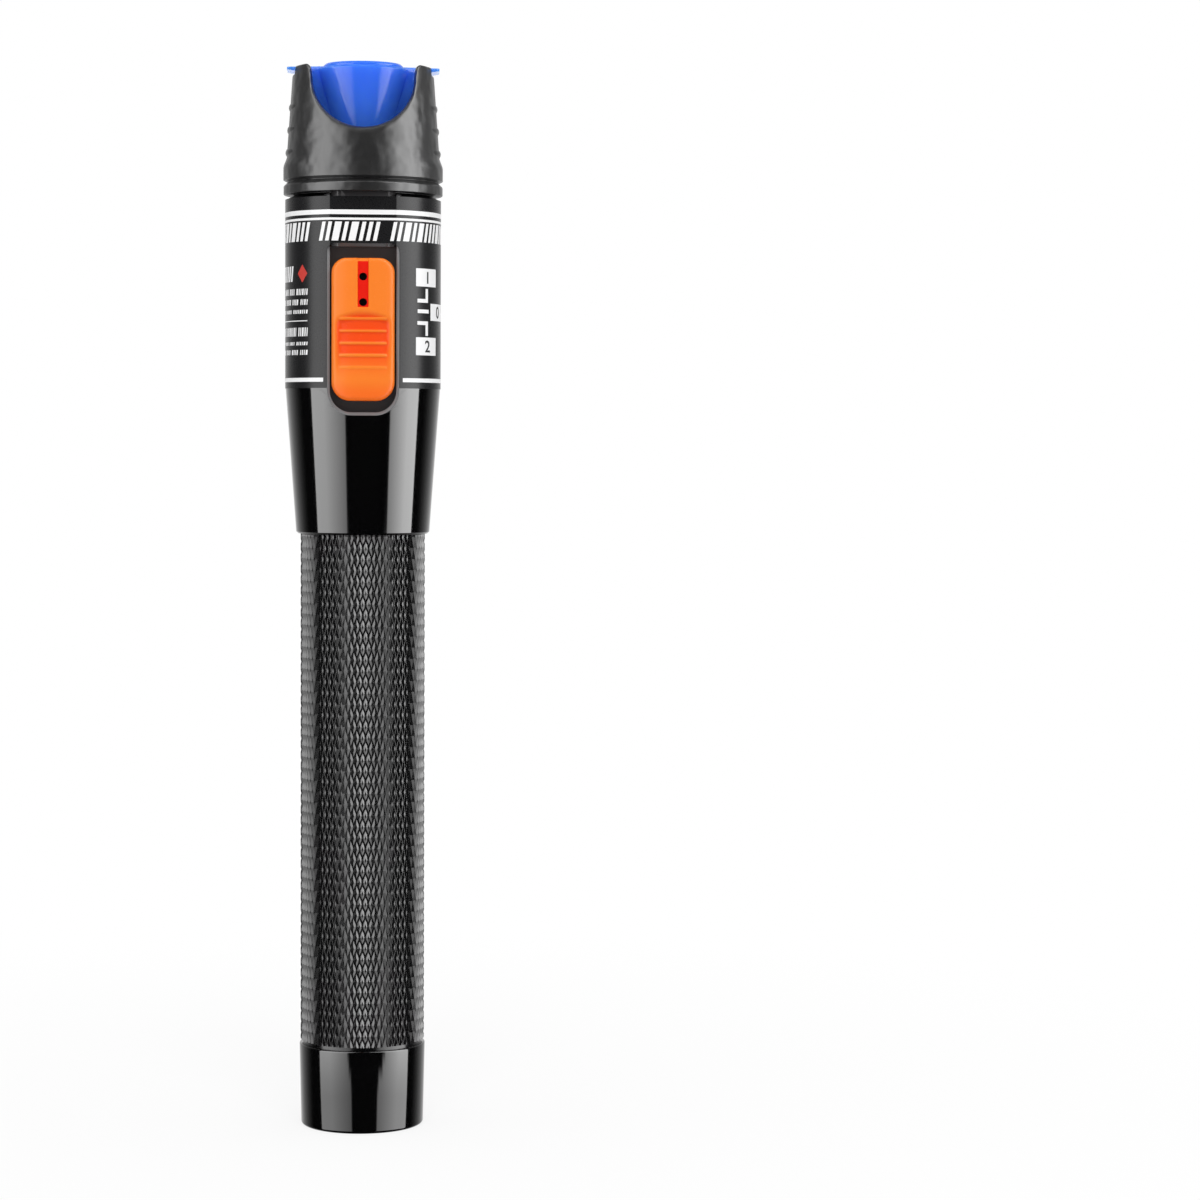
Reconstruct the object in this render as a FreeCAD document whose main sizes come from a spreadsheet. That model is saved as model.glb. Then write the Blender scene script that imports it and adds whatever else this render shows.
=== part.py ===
"""Visual fault locator: a pen-shaped red-light tester for optical fibre.

FreeCAD 1.1 macro, millimetres. The pen stands on its tail cap: the origin is the
centre of the cap's flat foot, +Z runs up the pen's axis to the fibre port, and the
slide button faces -Y. Driving sizes are cells of the spreadsheet "sizes"; levels
along the axis and fits are expressions of those cells. Each piece is written to
parts/LABEL.step.
"""
import FreeCAD
import Part
import Sketcher
import math
import os

DOC = FreeCAD.newDocument("visual_fault_locator")
SHEET = DOC.addObject("Spreadsheet::Sheet", "sizes")
DIODE_LEADS = 3
FIRST_LEAD = 90
FULL_TURN = 360
CLOSE = 0.001

SIZES = (
    # tail cap, which screws into the foot of the grip tube
    ("tail_height", 13.6, "rim above the foot"),
    ("tail_foot_radius", 10.1, "outside radius at the foot"),
    ("tail_rim_radius", 10.37, "outside radius at the rim"),
    ("tail_foot_turn", 1.0, "height of the turned-in foot"),
    ("tail_foot_step", 0.3, "first facet of the turned-in foot"),
    ("tail_rim_bevel", 0.3, "bevel of the rim's edge"),
    ("tail_floor", 2.2, "thickness of the end wall"),
    ("tail_bore_radius", 7.2, "spring chamber"),
    ("spigot_length", 8.0, "threaded spigot above the rim"),
    ("thread_clearance", 0.1, "radial play of each screwed joint"),
    # contact and spring in the tail cap
    ("tail_contact_radius", 6.6, "contact disc"),
    ("tail_contact_thickness", 0.5, "contact disc"),
    ("spring_wire_radius", 0.4, "half the tail spring's square wire"),
    ("spring_foot_radius", 5.4, "first turn, centre of the wire"),
    ("spring_turns", 3, "turns of the tail spring"),
    ("spring_taper", 18, "half angle of the spring's cone, degrees"),
    ("spring_height", 5.4, "tail spring, over the wire's centres"),
    # cells
    ("cell_radius", 7.2, "AA cell"),
    ("cell_length", 49.3, "AA cell without its cap"),
    ("cell_cap_radius", 2.7, "positive cap"),
    ("cell_cap_height", 1.2, "positive cap"),
    # grip tube
    ("cell_reach", 12.0, "upper cell's end above the tube's shoulder"),
    ("grip_radius", 10.2, "over the knurl"),
    ("grip_bore_radius", 7.6, "cell bore"),
    ("spigot_bore_radius", 8.7, "threaded mouth for the tail cap"),
    ("spigot_bore_spare", 0.8, "thread run-out behind the spigot"),
    ("undercut_width", 0.6, "turned relief at the foot"),
    ("undercut_depth", 0.35, "turned relief at the foot"),
    ("knurl_starts", 64, "teeth around the grip"),
    ("knurl_depth", 0.3, "depth of the knurl"),
    ("knurl_angle", 80, "included angle of a tooth gap, degrees"),
    ("knurl_end_gap", 0.5, "plain land above the knurl"),
    ("head_spigot_radius", 9.2, "threaded top of the tube"),
    ("head_spigot_length", 8.5, "threaded top of the tube"),
    # head shell
    ("cone_length", 23.5, "cone between grip and head"),
    ("cone_foot_radius", 10.93, "cone at the grip"),
    ("cone_foot_bevel", 0.3, "bevel of the cone's lower edge"),
    ("head_radius", 12.66, "head cylinder"),
    ("head_length", 31.6, "head cylinder"),
    ("head_bevel_height", 0.7, "bevel at the mouth of the head"),
    ("head_bevel_width", 1.2, "bevel at the mouth of the head"),
    ("carrier_gap", 1.5, "carrier's floor above the positive contact's head"),
    ("head_wall", 1.66, "wall round the carrier"),
    ("window_width", 10.7, "window for the slide button"),
    ("window_foot", 19.8, "window's lower end above the cone's foot"),
    ("window_height", 26.6, "window's height up to the carrier's tongue"),
    ("window_foot_round", 3.5, "lower corners of the window"),
    ("window_bevel", 0.5, "bevel round the window"),
    # label film
    ("label_thickness", 0.08, "printed film round the head"),
    ("label_foot_gap", 0.2, "bare metal below the film"),
    ("label_height", 29.4, "film along the axis"),
    ("label_margin", 0.55, "film to the window's edge"),
    # carrier, the moulding that holds the switch, the board and the laser
    ("carrier_clearance", 0.1, "carrier in the head's bore"),
    ("carrier_wall", 2.2, "wall of the carrier's chamber"),
    ("carrier_foot_height", 2.0, "floor of the carrier"),
    ("carrier_head_drop", 4.4, "underside of the carrier's head below the shell's mouth"),
    ("guard_lift", 0.4, "gap between the shell's mouth and the guard"),
    ("neck_step", 0.5, "guard's seat round the neck"),
    ("neck_length", 9.6, "neck above the guard's seat"),
    ("tongue_gap", 0.2, "tongue to the window's sides"),
    ("tongue_thickness", 2.2, "tongue that closes the window's upper end"),
    ("tongue_edge_round", 1.6, "rounded long edges of the tongue"),
    ("rail_margin", 1.0, "inside of the board rails to the screws"),
    ("rail_depth", 3.0, "board rails, front to back"),
    ("rail_end_gap", 2.0, "rails to the ends of the chamber"),
    # board and parts on it
    ("board_side_gap", 0.8, "board to the chamber's wall"),
    ("board_thickness", 1.2, "circuit board"),
    ("board_front", 1.0, "board's front face ahead of the axis"),
    ("board_end_gap", 1.4, "board to the head and foot of the carrier"),
    ("screw_radius", 0.75, "board screw"),
    ("screw_length", 3.2, "board screw under its head"),
    ("screw_head_radius", 1.35, "board screw"),
    ("screw_head_height", 0.9, "board screw"),
    ("screw_inset", 1.0, "screws from the board's sides"),
    ("screw_end", 2.6, "screws from the board's ends"),
    ("chip_width", 5.0, "driver chip"),
    ("chip_height", 4.0, "driver chip"),
    ("chip_thickness", 1.5, "driver chip"),
    ("chip_rise", 8.0, "driver chip above the board's foot"),
    ("coil_radius", 2.6, "inductor"),
    ("coil_thickness", 2.6, "inductor"),
    ("coil_rise", 17.5, "inductor above the board's foot"),
    ("capacitor_width", 1.8, "capacitors"),
    ("capacitor_height", 3.2, "capacitors"),
    ("capacitor_thickness", 1.4, "capacitors"),
    ("capacitor_rise", 25.5, "capacitors above the board's foot"),
    ("capacitor_spacing", 4.4, "between the two capacitors"),
    # slide switch
    ("switch_width", 6.6, "switch case"),
    ("switch_height", 13.0, "switch case"),
    ("switch_thickness", 4.4, "switch case"),
    ("switch_slot_depth", 1.2, "slot for the lever"),
    ("lever_width", 1.6, "switch lever"),
    ("lever_height", 2.0, "switch lever"),
    ("lever_play", 0.15, "lever to the sides of its slot"),
    ("lever_foot_gap", 0.3, "lever to the bottom of its slot"),
    # slide button and its carriage
    ("button_travel", 1.7, "travel each way from OFF"),
    ("button_end_gap", 0.15, "button to the window's end at full travel"),
    ("button_width", 10.15, "slide button"),
    ("button_proud", 0.29, "crown of the button, proud of the head"),
    ("button_corner", 2.3, "upper corners of the button"),
    ("button_edge_bevel", 0.35, "front edge of the button"),
    ("pointer_width", 1.7, "groove above the ribs"),
    ("pointer_length", 7.8, "groove above the ribs"),
    ("pointer_depth", 0.45, "groove above the ribs"),
    ("pointer_hole_radius", 0.62, "two holes in the groove"),
    ("pointer_hole_depth", 1.2, "two holes in the groove"),
    ("pointer_hole_drop", 3.0, "upper hole below the button's top"),
    ("pointer_hole_spacing", 4.1, "between the two holes"),
    ("thumb_ribs", 5, "ribs under the thumb"),
    ("thumb_rib_pitch", 1.96, "ribs under the thumb"),
    ("thumb_rib_width", 0.8, "ribs under the thumb"),
    ("thumb_dish_width", 7.4, "dished field of the ribs"),
    ("thumb_dish_depth", 0.35, "dished field of the ribs"),
    ("thumb_dish_drop", 1.95, "middle of the ribs below the button's middle"),
    ("carriage_width", 12.0, "plate behind the window"),
    ("carriage_height", 30.0, "plate behind the window"),
    ("carriage_thickness", 1.0, "plate behind the window"),
    ("carriage_drop", 2.1, "plate's front face inside the head's bore"),
    ("carriage_play", 0.4, "plate to its guides"),
    ("carriage_boss", 1.5, "lever socket behind the plate"),
    ("carriage_boss_wall", 1.1, "lever socket behind the plate"),
    # positive contact
    ("contact_head_radius", 3.0, "contact against the cell"),
    ("contact_head_height", 0.6, "contact against the cell"),
    ("contact_stem_radius", 1.2, "stem up to the board"),
    # laser and port
    ("laser_radius", 5.5, "laser housing"),
    ("laser_clearance", 0.1, "laser housing in the carrier"),
    ("laser_length", 11.2, "laser housing"),
    ("diode_flange_radius", 2.8, "laser diode"),
    ("diode_flange_height", 1.2, "laser diode"),
    ("diode_can_radius", 1.8, "laser diode"),
    ("diode_can_height", 2.3, "laser diode"),
    ("diode_lead_radius", 0.22, "laser diode leads"),
    ("diode_lead_circle", 1.27, "radius of the circle of leads"),
    ("beam_radius", 1.9, "bore past the diode's can"),
    ("lens_radius", 2.5, "collimating lens"),
    ("lens_edge", 1.0, "edge thickness of the lens"),
    ("lens_dome_radius", 1.8, "ground face of the lens"),
    ("lens_dome_height", 0.45, "ground face of the lens"),
    ("port_spigot_length", 2.2, "port barrel in the laser housing"),
    ("port_flange_height", 1.5, "port barrel's flange"),
    ("port_radius", 4.0, "port barrel"),
    ("port_length", 10.6, "port barrel above its flange"),
    ("port_bevel", 0.4, "port barrel's mouth"),
    ("port_light_bore", 1.0, "way for the beam below the sleeve"),
    ("sleeve_radius", 1.6, "ceramic sleeve"),
    ("sleeve_bore_radius", 1.2525, "bore for a 2.5 mm ferrule"),
    ("sleeve_length", 10.0, "ceramic sleeve"),
    ("sleeve_sink", 0.8, "sleeve's top below the barrel's mouth"),
    ("sleeve_clearance", 0.02, "sleeve in the barrel"),
    # guard
    ("guard_height", 20.5, "guard above its seat"),
    ("guard_ring_proud", 0.34, "lower ring, proud of the head"),
    ("guard_ring_height", 1.4, "lower ring"),
    ("guard_band_proud", 0.375, "upper band, proud of the head"),
    ("guard_band_top", 4.5, "top of the band above the seat"),
    ("guard_groove_width", 1.07, "groove between ring and band"),
    ("guard_groove_depth", 0.7, "groove between ring and band"),
    ("guard_flare_height", 1.3, "step in from the band"),
    ("guard_waist_drop", 0.16, "foot of the taper, inside the head's radius"),
    ("guard_top_drop", 1.21, "top of the horns, inside the head's radius"),
    ("guard_inner_step", 0.5, "guard's wall above the neck"),
    ("cut_radius", 7.8, "U-shaped cuts, at the axis"),
    ("cut_taper", 5.0, "draft of the cuts, degrees"),
    ("cut_edge_bevel", 0.6, "outer edge of the cuts"),
    ("cut_centre_drop", 1.4, "centre of the U below the top"),
    ("notch_width", 6.2, "notch in each horn"),
    ("notch_depth", 1.2, "notch in each horn"),
    ("grip_ribs", 4, "ribs on each side"),
    ("grip_rib_pitch", 3.45, "ribs on each side"),
    ("grip_rib_start", 6.65, "lowest rib above the seat"),
    ("grip_rib_width", 1.3, "ribs on each side, at the foot"),
    ("grip_rib_crest", 0.5, "ribs on each side, at the crest"),
    ("grip_rib_proud", 0.3, "ribs on each side"),
    ("grip_rib_angle", 64, "arc of a rib, degrees"),
    # dust cap
    ("cap_clearance", 0.06, "cap over the port barrel"),
    ("cap_foot_gap", 0.1, "cap above the neck"),
    ("cap_mouth_radius", 5.2, "foot of the cap's cone"),
    ("cap_rim_radius", 7.75, "top of the cap's cone"),
    ("cap_rim_level", 9.7, "top of the cone above the cap's foot"),
    ("cap_disc_radius", 6.5, "raised disc"),
    ("cap_disc_height", 0.7, "raised disc"),
    ("cap_rim_height", 1.0, "rim under the disc"),
    ("cap_edge_bevel", 0.3, "edges of the disc and the rim"),
    ("wing_thickness", 6.0, "wings between cone and horns"),
    ("wing_gap", 0.75, "wings to the horns"),
    ("ear_proud", 0.95, "ends of the ears, proud of the horns' tops"),
    ("ear_thickness", 1.05, "ears"),
    ("ear_gap", 0.15, "ears to their notches"),
    ("ear_round", 0.5, "corners of the ears"),
)


def fill_sheet():
    """One row per size: name, number with its alias, meaning."""
    for row, (alias, number, meaning) in enumerate(SIZES, 1):
        SHEET.set(f"A{row}", alias)
        SHEET.set(f"B{row}", str(number))
        SHEET.setAlias(f"B{row}", alias)
        SHEET.set(f"C{row}", meaning)
    DOC.recompute()


def number(expression):
    """Value of an expression of the sheet's sizes, in millimetres or degrees."""
    result = SHEET.evalExpression(str(expression))
    return float(getattr(result, "Value", result))


# --- levels along the axis, as expressions -----------------------------------
TAIL_RIM = "sizes.tail_height"
SPIGOT_TOP = f"({TAIL_RIM} + sizes.spigot_length)"
SPIGOT_RADIUS = "(sizes.spigot_bore_radius - sizes.thread_clearance)"
CONTACT_TOP = "(sizes.tail_floor + sizes.tail_contact_thickness)"
CELL_FOOT = f"({CONTACT_TOP} + sizes.spring_height + 2 * sizes.spring_wire_radius)"
CELL_PITCH = "(sizes.cell_length + sizes.cell_cap_height)"
CELLS_TOP = f"({CELL_FOOT} + 2 * {CELL_PITCH})"
GRIP_TOP = f"({CELLS_TOP} - sizes.cell_reach)"
CONE_TOP = f"({GRIP_TOP} + sizes.cone_length)"
SHELL_TOP = f"({CONE_TOP} + sizes.head_length)"
CARRIER_FOOT = f"({CELLS_TOP} + sizes.contact_head_height + sizes.carrier_gap)"
CARRIER_BORE = "(sizes.head_radius - sizes.head_wall)"
CARRIER_RADIUS = f"({CARRIER_BORE} - sizes.carrier_clearance)"
NECK_RADIUS = f"({CARRIER_RADIUS} - sizes.neck_step)"
CHAMBER_FOOT = f"({CARRIER_FOOT} + sizes.carrier_foot_height)"
CHAMBER_TOP = f"({SHELL_TOP} - sizes.carrier_head_drop)"
GUARD_SEAT = f"({SHELL_TOP} + sizes.guard_lift)"
NECK_TOP = f"({GUARD_SEAT} + sizes.neck_length)"
GUARD_RING = "(sizes.head_radius + sizes.guard_ring_proud)"
GUARD_BAND = "(sizes.head_radius + sizes.guard_band_proud)"
GUARD_WAIST = "(sizes.head_radius - sizes.guard_waist_drop)"
GUARD_TOP_RADIUS = "(sizes.head_radius - sizes.guard_top_drop)"
GUARD_INNER = f"({NECK_RADIUS} - sizes.guard_inner_step)"
EAR_REACH = f"({GUARD_TOP_RADIUS} + sizes.ear_proud)"
GUARD_TOP = f"({GUARD_SEAT} + sizes.guard_height)"
WINDOW_FOOT = f"({GRIP_TOP} + sizes.window_foot)"
WINDOW_TOP = f"({WINDOW_FOOT} + sizes.window_height)"
WINDOW_FLAT = "sqrt(sizes.head_radius ^ 2 - (sizes.window_width / 2) ^ 2)"
BUTTON_CROWN = "(sizes.head_radius + sizes.button_proud)"
BUTTON_HEIGHT = "(sizes.window_height - 2 * (sizes.button_travel + sizes.button_end_gap))"
BUTTON_MIDDLE = f"({WINDOW_FOOT} + sizes.window_height / 2)"
BUTTON_TOP = f"({BUTTON_MIDDLE} + {BUTTON_HEIGHT} / 2)"
BUTTON_FOOT_CORNER = "(sizes.window_foot_round - (sizes.window_width - sizes.button_width) / 2)"
CARRIAGE_FRONT = f"({CARRIER_BORE} - sizes.carriage_drop)"
CARRIAGE_BACK = f"({CARRIAGE_FRONT} - sizes.carriage_thickness)"
BOARD_HALF = f"({CARRIER_RADIUS} - sizes.carrier_wall - sizes.board_side_gap)"
BOARD_FOOT = f"({CHAMBER_FOOT} + sizes.board_end_gap)"
BOARD_TOP = f"({CHAMBER_TOP} - sizes.board_end_gap)"
BOARD_BACK = "(sizes.board_thickness - sizes.board_front)"
SCREW_SIDE = f"({BOARD_HALF} - sizes.screw_inset)"
RAIL_INNER = f"({SCREW_SIDE} - sizes.rail_margin)"
SWITCH_FRONT = "(sizes.board_front + sizes.switch_thickness)"
LASER_TOP = f"({CHAMBER_TOP} + sizes.laser_length)"
LENS_TOP = f"({LASER_TOP} - sizes.port_spigot_length)"
LENS_FOOT = f"({LENS_TOP} - sizes.lens_edge)"
PORT_FOOT = f"({LASER_TOP} + sizes.port_flange_height)"
PORT_TOP = f"({PORT_FOOT} + sizes.port_length)"
SLEEVE_TOP = f"({PORT_TOP} - sizes.sleeve_sink)"
SLEEVE_FOOT = f"({SLEEVE_TOP} - sizes.sleeve_length)"
SLEEVE_SEAT_RADIUS = "(sizes.sleeve_radius + sizes.sleeve_clearance)"
CAP_FOOT = f"({NECK_TOP} + sizes.cap_foot_gap)"
CAP_RIM = f"({CAP_FOOT} + sizes.cap_rim_level)"
CAP_BORE_RADIUS = "(sizes.port_radius + sizes.cap_clearance)"


# --- helpers -----------------------------------------------------------------
def new_body(label):
    """A PartDesign body whose label names its file."""
    body = DOC.addObject("PartDesign::Body", f"{label}_body")
    body.Label = label
    return body


def new_sketch(body, name, plane, lift=None):
    """Sketch on an origin plane of its body; lift moves it along the plane's normal."""
    sketch = body.newObject("Sketcher::SketchObject", name)
    support = [item for item in body.Origin.OriginFeatures if item.Role == plane]
    sketch.AttachmentSupport = [(support[0], "")]
    sketch.MapMode = "FlatFace"
    if lift is not None:
        sketch.setExpression("AttachmentOffset.Base.z", lift)
    return sketch


def pin_point(sketch, geometry, corner, place):
    """Hold one point of a sketch at two expressions."""
    for kind, expression in zip(("DistanceX", "DistanceY"), place):
        held = Sketcher.Constraint(kind, -1, 1, geometry, corner, number(expression))
        index = sketch.addConstraint(held)
        sketch.setExpression(f"Constraints[{index}]", str(expression))


def add_loop(sketch, corners):
    """Closed run of straight lines through corners given as pairs of expressions."""
    first = sketch.GeometryCount
    count = len(corners)
    points = [FreeCAD.Vector(number(x), number(y), 0) for x, y in corners]
    for index in range(count):
        line = Part.LineSegment(points[index], points[(index + 1) % count])
        sketch.addGeometry(line)
    for index in range(count):
        following = first + (index + 1) % count
        sketch.addConstraint(Sketcher.Constraint("Coincident", first + index, 2, following, 1))
    for index, corner in enumerate(corners):
        pin_point(sketch, first + index, 1, corner)


def add_box(sketch, left, right, low, high):
    """Closed rectangle between four expressions."""
    add_loop(sketch, ((left, low), (right, low), (right, high), (left, high)))


def add_circle(sketch, across, up, radius):
    """Circle held at two expressions, with its radius bound."""
    centre = FreeCAD.Vector(number(across), number(up), 0)
    index = sketch.addGeometry(Part.Circle(centre, FreeCAD.Vector(0, 0, 1), number(radius)))
    pin_point(sketch, index, 3, (across, up))
    held = sketch.addConstraint(Sketcher.Constraint("Radius", index, number(radius)))
    sketch.setExpression(f"Constraints[{held}]", str(radius))


def turn(body, name, profile, kind="Revolution"):
    """Full turn about the pen's axis of a profile of (radius, level) pairs."""
    sketch = new_sketch(body, f"{name}_profile", "XZ_Plane")
    add_loop(sketch, profile)
    feature = body.newObject(f"PartDesign::{kind}", name)
    feature.Profile = sketch
    feature.ReferenceAxis = (sketch, ["V_Axis"])
    feature.Angle = FULL_TURN
    DOC.recompute()
    return feature


def extrude(body, name, sketch, length, kind="Pad", backward=False, both=False, taper=None):
    """Pad or Pocket of a sketch over a length given as an expression."""
    feature = body.newObject(f"PartDesign::{kind}", name)
    feature.Profile = sketch
    feature.setExpression("Length", str(length))
    feature.Reversed = backward
    feature.Midplane = both
    if taper is not None:
        feature.setExpression("TaperAngle", taper)
    DOC.recompute()
    return feature


def smooth(body, name, feature, chosen, size, kind="Fillet"):
    """Fillet or chamfer the edges of a feature that a test picks."""
    edges = [f"Edge{index}" for index, edge in enumerate(feature.Shape.Edges, 1) if chosen(edge)]
    if not edges:
        raise RuntimeError(f"{name}: no edge found")
    finish = body.newObject(f"PartDesign::{kind}", name)
    finish.Base = (feature, edges)
    finish.setExpression("Radius" if kind == "Fillet" else "Size", size)
    DOC.recompute()
    return finish


def is_ring(edge, radius, level):
    """True for a circle about the pen's axis at a radius and level."""
    curve = edge.Curve
    if not isinstance(curve, Part.Circle):
        return False
    centred = math.hypot(curve.Center.x, curve.Center.y) < CLOSE
    return centred and abs(curve.Radius - radius) < CLOSE and abs(curve.Center.z - level) < CLOSE


def repeat_around(body, name, feature, occurrences):
    """Copies of a feature spaced evenly about the pen's axis."""
    pattern = body.newObject("PartDesign::PolarPattern", name)
    axis = [item for item in body.Origin.OriginFeatures if item.Role == "Z_Axis"]
    pattern.Originals = [feature]
    pattern.Axis = (axis[0], [""])
    pattern.Angle = FULL_TURN
    pattern.setExpression("Occurrences", str(occurrences))
    body.Tip = pattern
    DOC.recompute()
    return pattern


def repeat_up(body, name, feature, occurrences, pitch):
    """Copies of a feature spaced evenly along +Z."""
    pattern = body.newObject("PartDesign::LinearPattern", name)
    axis = [item for item in body.Origin.OriginFeatures if item.Role == "Z_Axis"]
    pattern.Originals = [feature]
    pattern.Direction = (axis[0], [""])
    pattern.setExpression("Occurrences", str(occurrences))
    pattern.setExpression("Length", f"({occurrences} - 1) * {pitch}")
    body.Tip = pattern
    DOC.recompute()
    return pattern


def cell_profile(foot):
    """Half section of a cell: can, then its positive cap."""
    top = f"({foot} + sizes.cell_length)"
    return (
        ("0", foot),
        ("sizes.cell_radius", foot),
        ("sizes.cell_radius", top),
        ("sizes.cell_cap_radius", top),
        ("sizes.cell_cap_radius", f"{top} + sizes.cell_cap_height"),
        ("0", f"{top} + sizes.cell_cap_height"),
    )


def ring_profile(inner, outer, foot, top):
    """Half section of a plain ring."""
    return ((inner, foot), (outer, foot), (outer, top), (inner, top))


# --- tail cap and what it holds ----------------------------------------------
def make_tail_cap():
    """Turned cap: tapered skirt, turned-in foot, threaded spigot."""
    body = new_body("tail_cap")
    turned = turn(body, "tail_cap_turning", (
        ("0", "0"),
        ("sizes.tail_foot_radius - sizes.tail_foot_turn", "0"),
        ("sizes.tail_foot_radius - sizes.tail_foot_step", "sizes.tail_foot_step"),
        ("sizes.tail_foot_radius", "sizes.tail_foot_turn"),
        ("sizes.tail_rim_radius", TAIL_RIM),
        (SPIGOT_RADIUS, TAIL_RIM),
        (SPIGOT_RADIUS, SPIGOT_TOP),
        ("sizes.tail_bore_radius", SPIGOT_TOP),
        ("sizes.tail_bore_radius", "sizes.tail_floor"),
        ("0", "sizes.tail_floor"),
    ))
    rim_radius = number("sizes.tail_rim_radius")
    rim_level = number(TAIL_RIM)
    smooth(body, "tail_cap_rim", turned, lambda edge: is_ring(edge, rim_radius, rim_level),
           "sizes.tail_rim_bevel", "Chamfer")


def make_tail_contact():
    """Flat contact disc on the cap's floor."""
    disc = DOC.addObject("Part::Cylinder", "tail_contact_disc")
    disc.Label = "tail_contact"
    disc.setExpression("Radius", "sizes.tail_contact_radius")
    disc.setExpression("Height", "sizes.tail_contact_thickness")
    disc.setExpression("Placement.Base.z", "sizes.tail_floor")


def make_tail_spring():
    """Conical spring between the contact disc and the lower cell."""
    body = new_body("tail_spring")
    sketch = new_sketch(body, "tail_spring_wire", "XZ_Plane")
    left = "(sizes.spring_foot_radius - sizes.spring_wire_radius)"
    right = "(sizes.spring_foot_radius + sizes.spring_wire_radius)"
    top = f"({CONTACT_TOP} + 2 * sizes.spring_wire_radius)"
    add_box(sketch, left, right, CONTACT_TOP, top)
    helix = body.newObject("PartDesign::AdditiveHelix", "tail_spring_helix")
    helix.Profile = sketch
    helix.ReferenceAxis = (sketch, ["V_Axis"])
    helix.Mode = "height-turns-angle"
    helix.setExpression("Height", "sizes.spring_height")
    helix.setExpression("Turns", "sizes.spring_turns")
    helix.setExpression("Angle", "-sizes.spring_taper")
    DOC.recompute()


def make_cells():
    """Two AA cells, nose to tail."""
    for label, foot in (("battery_lower", CELL_FOOT), ("battery_upper", f"({CELL_FOOT} + {CELL_PITCH})")):
        body = new_body(label)
        turn(body, f"{label}_turning", cell_profile(foot))


# --- grip tube ---------------------------------------------------------------
def make_grip_tube():
    """Knurled tube for the cells, threaded at both ends.

    The knurl's teeth are cut straight along the tube; the cross cuts that make
    diamonds of them are finer than the tube's other features.
    """
    body = new_body("grip_tube")
    undercut_top = f"{TAIL_RIM} + sizes.undercut_width"
    mouth_end = f"{SPIGOT_TOP} + sizes.spigot_bore_spare"
    turn(body, "grip_tube_turning", (
        ("sizes.spigot_bore_radius", TAIL_RIM),
        ("sizes.grip_radius - sizes.undercut_depth", TAIL_RIM),
        ("sizes.grip_radius - sizes.undercut_depth", undercut_top),
        ("sizes.grip_radius", undercut_top),
        ("sizes.grip_radius", GRIP_TOP),
        ("sizes.head_spigot_radius", GRIP_TOP),
        ("sizes.head_spigot_radius", f"{GRIP_TOP} + sizes.head_spigot_length"),
        ("sizes.grip_bore_radius", f"{GRIP_TOP} + sizes.head_spigot_length"),
        ("sizes.grip_bore_radius", mouth_end),
        ("sizes.spigot_bore_radius", mouth_end),
    ))
    floor = "sizes.grip_radius - sizes.knurl_depth"
    mouth = "sizes.grip_radius + sizes.knurl_depth"
    half_mouth = "2 * sizes.knurl_depth * tan(sizes.knurl_angle / 2)"
    sketch = new_sketch(body, "grip_tube_tooth_gap", "XY_Plane", undercut_top)
    add_loop(sketch, ((floor, "0"), (mouth, f"-{half_mouth}"), (mouth, half_mouth)))
    gap = extrude(body, "grip_tube_tooth", sketch,
                  f"{GRIP_TOP} - sizes.knurl_end_gap - ({undercut_top})", "Pocket", backward=True)
    repeat_around(body, "grip_tube_knurl", gap, "sizes.knurl_starts")


# --- head --------------------------------------------------------------------
def in_window(edge, mouth):
    """True for an outer edge of the window: farther out than the mouth and inside the outline."""
    half = number("sizes.window_width") / 2 + CLOSE
    foot = number(WINDOW_FOOT) - CLOSE
    box = edge.BoundBox
    inside = abs(box.XMin) < half and abs(box.XMax) < half and box.ZMin > foot
    outer = [math.hypot(vertex.X, vertex.Y) > mouth + CLOSE for vertex in edge.Vertexes]
    return inside and box.YMax < 0 and all(outer)


def make_head_shell():
    """Cone and head in one turned shell, with the window open to its mouth."""
    body = new_body("head_shell")
    thread_radius = "sizes.head_spigot_radius + sizes.thread_clearance"
    turned = turn(body, "head_shell_turning", (
        (thread_radius, GRIP_TOP),
        ("sizes.cone_foot_radius", GRIP_TOP),
        ("sizes.head_radius", CONE_TOP),
        ("sizes.head_radius", f"{SHELL_TOP} - sizes.head_bevel_height"),
        ("sizes.head_radius - sizes.head_bevel_width", SHELL_TOP),
        (CARRIER_BORE, SHELL_TOP),
        (CARRIER_BORE, CARRIER_FOOT),
        (thread_radius, CARRIER_FOOT),
    ))
    foot_radius = number("sizes.cone_foot_radius")
    foot_level = number(GRIP_TOP)
    smooth(body, "head_shell_foot", turned, lambda edge: is_ring(edge, foot_radius, foot_level),
           "sizes.cone_foot_bevel", "Chamfer")
    sketch = new_sketch(body, "head_shell_window", "XZ_Plane")
    half = "sizes.window_width / 2"
    add_box(sketch, f"-{half}", half, WINDOW_FOOT, f"{SHELL_TOP} + sizes.head_bevel_height")
    window = extrude(body, "head_shell_window_cut", sketch, "2 * sizes.head_radius",
                     "Pocket", backward=True)
    corner = smooth(body, "head_shell_window_corners", window, is_window_corner,
                    "sizes.window_foot_round")
    mouth = number("sizes.head_radius - sizes.head_bevel_width")
    smooth(body, "head_shell_window_bevel", corner, lambda edge: in_window(edge, mouth),
           "sizes.window_bevel", "Chamfer")


def is_window_corner(edge):
    """True for the straight edges along Y at the window's lower corners."""
    box = edge.BoundBox
    half = number("sizes.window_width") / 2
    level = number(WINDOW_FOOT)
    flat = box.XLength < CLOSE and box.ZLength < CLOSE and box.YMax < 0
    return flat and abs(abs(box.XMin) - half) < CLOSE and abs(box.ZMin - level) < CLOSE


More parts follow.
